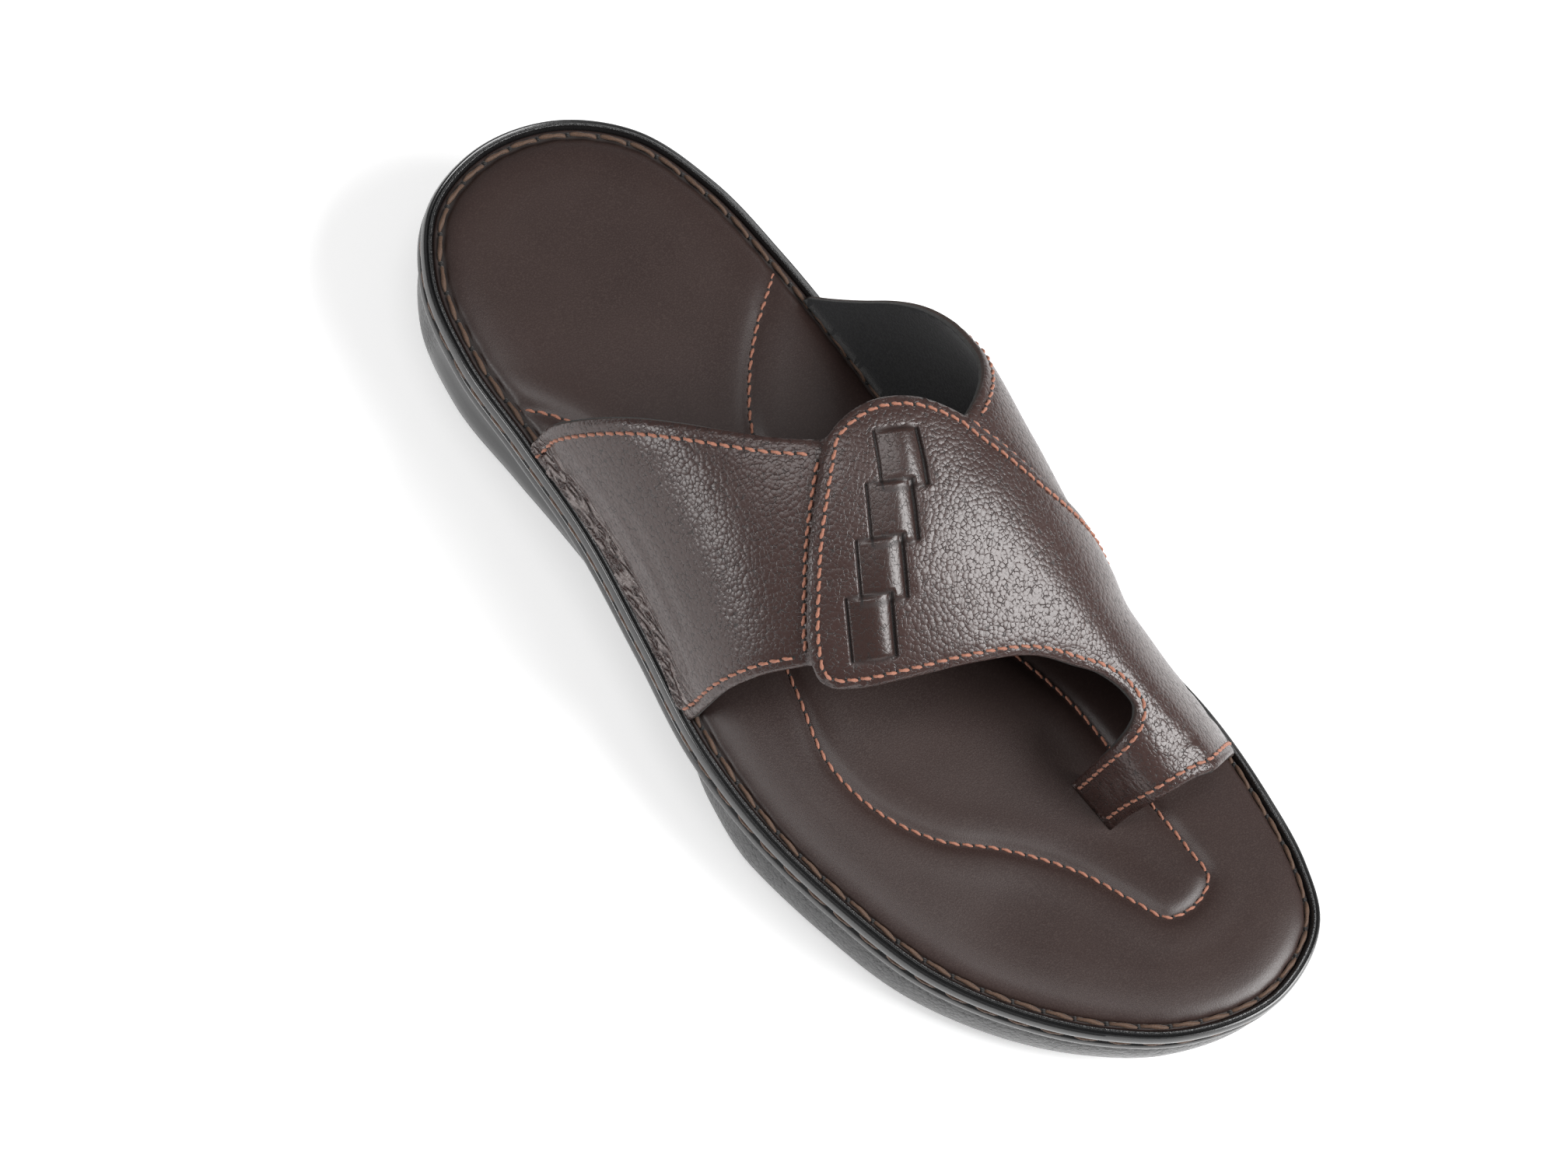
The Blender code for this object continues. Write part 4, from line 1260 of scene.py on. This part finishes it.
class Finish:
    """A material built up from nodes, with a short name for each step that recurs."""

    def __init__(self, name):
        self.made = bpy.data.materials.new(name)
        self.made.use_nodes = True
        self.tree = self.made.node_tree
        self.shader = self.tree.nodes["Principled BSDF"]
        self.place = self.node("ShaderNodeTexCoord").outputs["Object"]

    def put(self, socket, value):
        """Link a socket or set its value; a colour is given as three numbers."""
        if isinstance(value, bpy.types.NodeSocket):
            self.tree.links.new(value, socket)
        elif socket.type == "RGBA":
            socket.default_value = (*value, 1.0)
        else:
            socket.default_value = value

    def node(self, kind, settings=None, sockets=None):
        made = self.tree.nodes.new(kind)
        for key, value in (settings or {}).items():
            setattr(made, key, value)
        for key, value in (sockets or {}).items():
            self.put(made.inputs[key], value)
        return made

    def surface(self, values):
        """Set the surface itself, and give back the material."""
        for key, value in values.items():
            self.put(self.shader.inputs[key], value)
        return self.made

    def math(self, operation, a, b=0.0):
        return self.node("ShaderNodeMath", {"operation": operation}, {0: a, 1: b}).outputs[0]

    def plus(self, a, b):
        return self.math("ADD", a, b)

    def minus(self, a, b):
        return self.math("SUBTRACT", a, b)

    def times(self, a, b):
        return self.math("MULTIPLY", a, b)

    def vector(self, operation, sockets):
        return self.node("ShaderNodeVectorMath", {"operation": operation}, sockets).outputs[0]

    def attribute(self, name):
        return self.node("ShaderNodeAttribute", {"attribute_name": name}).outputs["Fac"]

    def noise(self, scale, detail=3.0, roughness=0.55, place=None, output="Fac"):
        sockets = {"Vector": place or self.place, "Scale": scale, "Detail": detail,
                   "Roughness": roughness}
        return self.node("ShaderNodeTexNoise", None, sockets).outputs[output]

    def ramp(self, value, low, high, start=0.0, end=1.0):
        """Number mapped smoothly from one range to another."""
        return self.node("ShaderNodeMapRange", {"interpolation_type": "SMOOTHSTEP"},
                         {0: value, 1: low, 2: high, 3: start, 4: end}).outputs[0]

    def blend(self, share, first, second):
        """Mix of two colours."""
        return self.node("ShaderNodeMix", {"data_type": "RGBA"},
                         {0: share, 6: first, 7: second}).outputs[2]

    def bump(self, height, strength, distance, under=None):
        sockets = {"Strength": strength, "Distance": distance, "Height": height}
        if under is not None:
            sockets["Normal"] = under
        return self.node("ShaderNodeBump", None, sockets).outputs["Normal"]

    def warped(self, scale, amount):
        """Coordinates pushed about by a soft noise."""
        push = self.noise(scale, 2.0, 0.5, output="Color")
        centred = self.vector("SUBTRACT", {0: push, 1: (0.5, 0.5, 0.5)})
        moved = self.vector("SCALE", {0: centred, "Scale": amount})
        return self.vector("ADD", {0: self.place, 1: moved})

    def pebble(self, scale):
        """Pebble grain: domes of rounded cells, and the uneven cracks between them, from 0 to 1."""
        cells = {"Vector": self.warped(scale * 0.45, 0.55 / scale), "Scale": scale}
        edge = self.node("ShaderNodeTexVoronoi", {"feature": "DISTANCE_TO_EDGE"}, cells)
        middle = self.node("ShaderNodeTexVoronoi", None, cells).outputs["Distance"]
        dome = self.minus(1.0, self.times(middle, middle))
        open_share = self.ramp(self.noise(scale * 0.9, 2.0), 0.40, 0.64)
        crack = self.times(self.ramp(edge.outputs["Distance"], 0.0, 0.11, 1.0, 0.0), open_share)
        return dome, crack


def strap_leather():
    """Semi-gloss pebble grain and smooth woven squares, with painted shade in the cracks and slits
    and painted highlights on the crests of its fine folds.
    """
    hide = Finish("strap_leather")
    dome, crack = hide.pebble(STRAP_PEBBLES)
    smooth, painted_shade, crinkle = (hide.attribute(name) for name in ("smooth", "painted_shade", "crinkle"))
    fine = hide.noise(PORES, 2.0)
    stretched = hide.vector("MULTIPLY", {0: hide.place, 1: (1.0, FOLD_STRETCH, 1.0)})
    folds = hide.math("ABSOLUTE", hide.minus(hide.noise(FOLDS, 1.0, place=stretched), 0.5))
    tone = hide.blend(hide.ramp(hide.noise(45.0), 0.3, 0.7), *STRAP_TONES)
    tone = hide.blend(hide.times(smooth, 0.7), tone, WEAVE_TONE)
    # Painted shade in the cracks between the grain's cells
    tone = hide.blend(hide.times(crack, 0.9), tone, CRACK_SHADE_TONE)
    # Painted highlight: the crests of the fine folds are lightened
    tone = hide.blend(hide.times(hide.ramp(folds, 0.04, 0.13), crinkle), tone, CREST_HIGHLIGHT_TONE)
    # Painted shade in the slits and end lines of the woven squares
    tone = hide.blend(painted_shade, tone, SLIT_SHADE_TONE)
    rough = hide.plus(hide.ramp(fine, 0.2, 0.8, 0.0, 0.08), 0.27)
    rough = hide.plus(rough, hide.times(crack, 0.2))
    rough = hide.minus(rough, hide.times(crinkle, 0.1))
    rough = hide.plus(rough, hide.times(painted_shade, 0.5))
    keep = hide.times(hide.minus(1.0, hide.times(smooth, 0.6)), hide.minus(1.0, painted_shade))
    grain = hide.times(hide.minus(dome, hide.times(crack, 0.5)), keep)
    shaped = hide.bump(hide.times(folds, crinkle), 1.0, 0.0040)
    shaped = hide.bump(hide.noise(260.0, 1.0), 0.3, 0.00013, shaped)
    shaped = hide.bump(grain, 1.0, 0.00009, shaped)
    shaped = hide.bump(fine, 0.3, 0.00004, shaped)
    return hide.surface({"Base Color": tone, "Roughness": rough, "Specular IOR Level": 0.5,
                         "Coat Weight": 0.15, "Coat Roughness": 0.15, "Normal": shaped,
                         "Coat Normal": shaped})


def cut_edge():
    """Raw edge of the straps: leather outside, felt inside."""
    edge = Finish("cut_edge")
    fibre = edge.noise(1800.0, 4.0, 0.7)
    leather = edge.blend(fibre, *EDGE_TONES)
    felt = edge.blend(fibre, *FELT_TONES)
    tone = edge.blend(edge.ramp(edge.attribute("depth"), 0.42, 0.56), leather, felt)
    return edge.surface({"Base Color": tone, "Roughness": 0.9, "Normal": edge.bump(fibre, 0.7, 0.0004)})


def strap_lining():
    """Black felt with a short nap."""
    felt = Finish("strap_lining")
    fibre = felt.noise(1500.0, 4.0, 0.7)
    tone = felt.blend(felt.ramp(fibre, 0.3, 0.7), *LINING_TONES)
    tone = felt.blend(felt.ramp(felt.noise(60.0), 0.3, 0.8, 0.0, 0.4), tone, NAP_TONE)
    return felt.surface({"Base Color": tone, "Roughness": 0.92, "Sheen Weight": 0.25,
                         "Sheen Roughness": 0.5, "Normal": felt.bump(fibre, 0.6, 0.0003)})


def footbed_leather():
    """Smooth satin leather with fine pores, with painted shade in the crevice along its edge."""
    hide = Finish("footbed_leather_smooth")
    pores = hide.noise(PORES, 2.0, 0.6)
    crevice_shade = hide.attribute("crevice_shade")
    tone = hide.blend(hide.ramp(hide.noise(30.0), 0.3, 0.7), *FOOTBED_TONES)
    tone = hide.blend(hide.ramp(pores, 0.45, 0.75, 0.0, 0.6), tone, PORE_TONE)
    # Painted shade: the crevice along the edge is darkened towards a near-black tone
    tone = hide.blend(hide.times(crevice_shade, 0.85), tone, CREVICE_SHADE_TONE)
    rough = hide.plus(hide.ramp(pores, 0.2, 0.8, 0.33, 0.43), hide.times(crevice_shade, 0.3))
    return hide.surface({"Base Color": tone, "Roughness": rough, "Specular IOR Level": 0.5,
                         "Normal": hide.bump(pores, 0.3, 0.00010)})


def sole_rubber():
    """Satin foam: crumbly lip, smooth beads, glossy panels and leather grain lower down."""
    foam = Finish("sole_rubber")
    grain, gloss, lip = (foam.attribute(name) for name in ("grain", "gloss", "lip"))
    dome, crack = foam.pebble(SOLE_PEBBLES)
    crumbs = foam.noise(1400.0, 3.0, 0.7)
    fine = foam.noise(900.0)
    rough = foam.plus(foam.times(grain, 0.12), foam.ramp(fine, 0.2, 0.8, 0.24, 0.31))
    rough = foam.minus(rough, foam.times(gloss, 0.12))
    shaped = foam.bump(foam.times(foam.minus(dome, crack), grain), 1.0, 0.00014)
    shaped = foam.bump(foam.times(crumbs, lip), 1.0, 0.0003, shaped)
    shaped = foam.bump(fine, 0.15, 0.0001, shaped)
    return foam.surface({"Base Color": foam.blend(foam.noise(40.0), *RUBBER_TONES),
                         "Roughness": rough, "Specular IOR Level": 0.6, "Coat Weight": 0.35,
                         "Coat Roughness": 0.14, "Normal": shaped, "Coat Normal": shaped})


def thread(name, low, high):
    twist = Finish(name)
    strands = twist.noise(3200.0)
    return twist.surface({"Base Color": twist.blend(strands, low, high), "Roughness": 0.62,
                          "Sheen Weight": 0.15, "Normal": twist.bump(strands, 0.5, 0.0002)})


# Stage

def make_floor():
    mesh = bpy.data.meshes.new("floor")
    size = FLOOR_HALF
    mesh.from_pydata([(-size, -size, 0), (size, -size, 0), (size, size, 0), (-size, size, 0)], [],
                     [(0, 1, 2, 3)])
    pale = Finish("pale_floor")
    tone = pale.blend(pale.noise(3.0), *FLOOR_TONES)
    mesh.materials.append(pale.surface({"Base Color": tone, "Roughness": 0.8,
                                        "Emission Color": (1, 1, 1), "Emission Strength": FLOOR_GLOW}))
    floor = bpy.data.objects.new("floor", mesh)
    bpy.context.collection.objects.link(floor)


def area_light(name, place, target, size, power):
    data = bpy.data.lights.new(name, "AREA")
    data.shape = "RECTANGLE"
    data.size, data.size_y = size
    data.energy = power
    made = bpy.data.objects.new(name, data)
    made.location = place
    made.rotation_euler = (Vector(place) - Vector(target)).to_track_quat("Z", "Y").to_euler()
    bpy.context.collection.objects.link(made)


def make_lights():
    world = bpy.data.worlds.new("studio")
    world.use_nodes = True
    sky = world.node_tree.nodes["Background"].inputs
    sky["Color"].default_value = (1, 1, 1, 1)
    sky["Strength"].default_value = SKY_STRENGTH
    bpy.context.scene.world = world
    for light in LIGHTS:
        area_light(*light)


def make_camera():
    azimuth, elevation = math.radians(VIEW_AZIMUTH), math.radians(VIEW_ELEVATION)
    roll = math.radians(VIEW_ROLL)
    back = Vector((math.sin(azimuth) * math.cos(elevation),
                   -math.cos(azimuth) * math.cos(elevation), math.sin(elevation)))
    level_right = (-back).cross(Vector((0, 0, 1))).normalized()
    level_up = level_right.cross(-back)
    right = level_right * math.cos(roll) + level_up * math.sin(roll)
    up = level_up * math.cos(roll) - level_right * math.sin(roll)
    data = bpy.data.cameras.new("camera")
    data.sensor_width = SENSOR
    data.lens = VIEW_FOCAL / PHOTO_WIDTH * SENSOR
    data.shift_x = -VIEW_SHIFT[0] / PHOTO_WIDTH
    data.shift_y = VIEW_SHIFT[1] / PHOTO_WIDTH
    data.clip_start = 0.05
    made = bpy.data.objects.new("camera", data)
    target = Vector((np.array(VIEW_TARGET) - SHIFT) * MM)
    turn = Matrix((right, up, back)).transposed().to_4x4()
    made.matrix_world = Matrix.Translation(target + back * VIEW_DISTANCE * MM) @ turn
    bpy.context.collection.objects.link(made)
    bpy.context.scene.camera = made
    bpy.context.scene.view_settings.view_transform = "Standard"


def main():
    make_camera()
    make_lights()
    make_floor()
    rubber = sole_rubber()
    make_sole(rubber)
    tread_marks(rubber)
    make_footbed(footbed_leather())
    make_straps(strap_leather(), cut_edge(), strap_lining())
    make_stitches()


main()
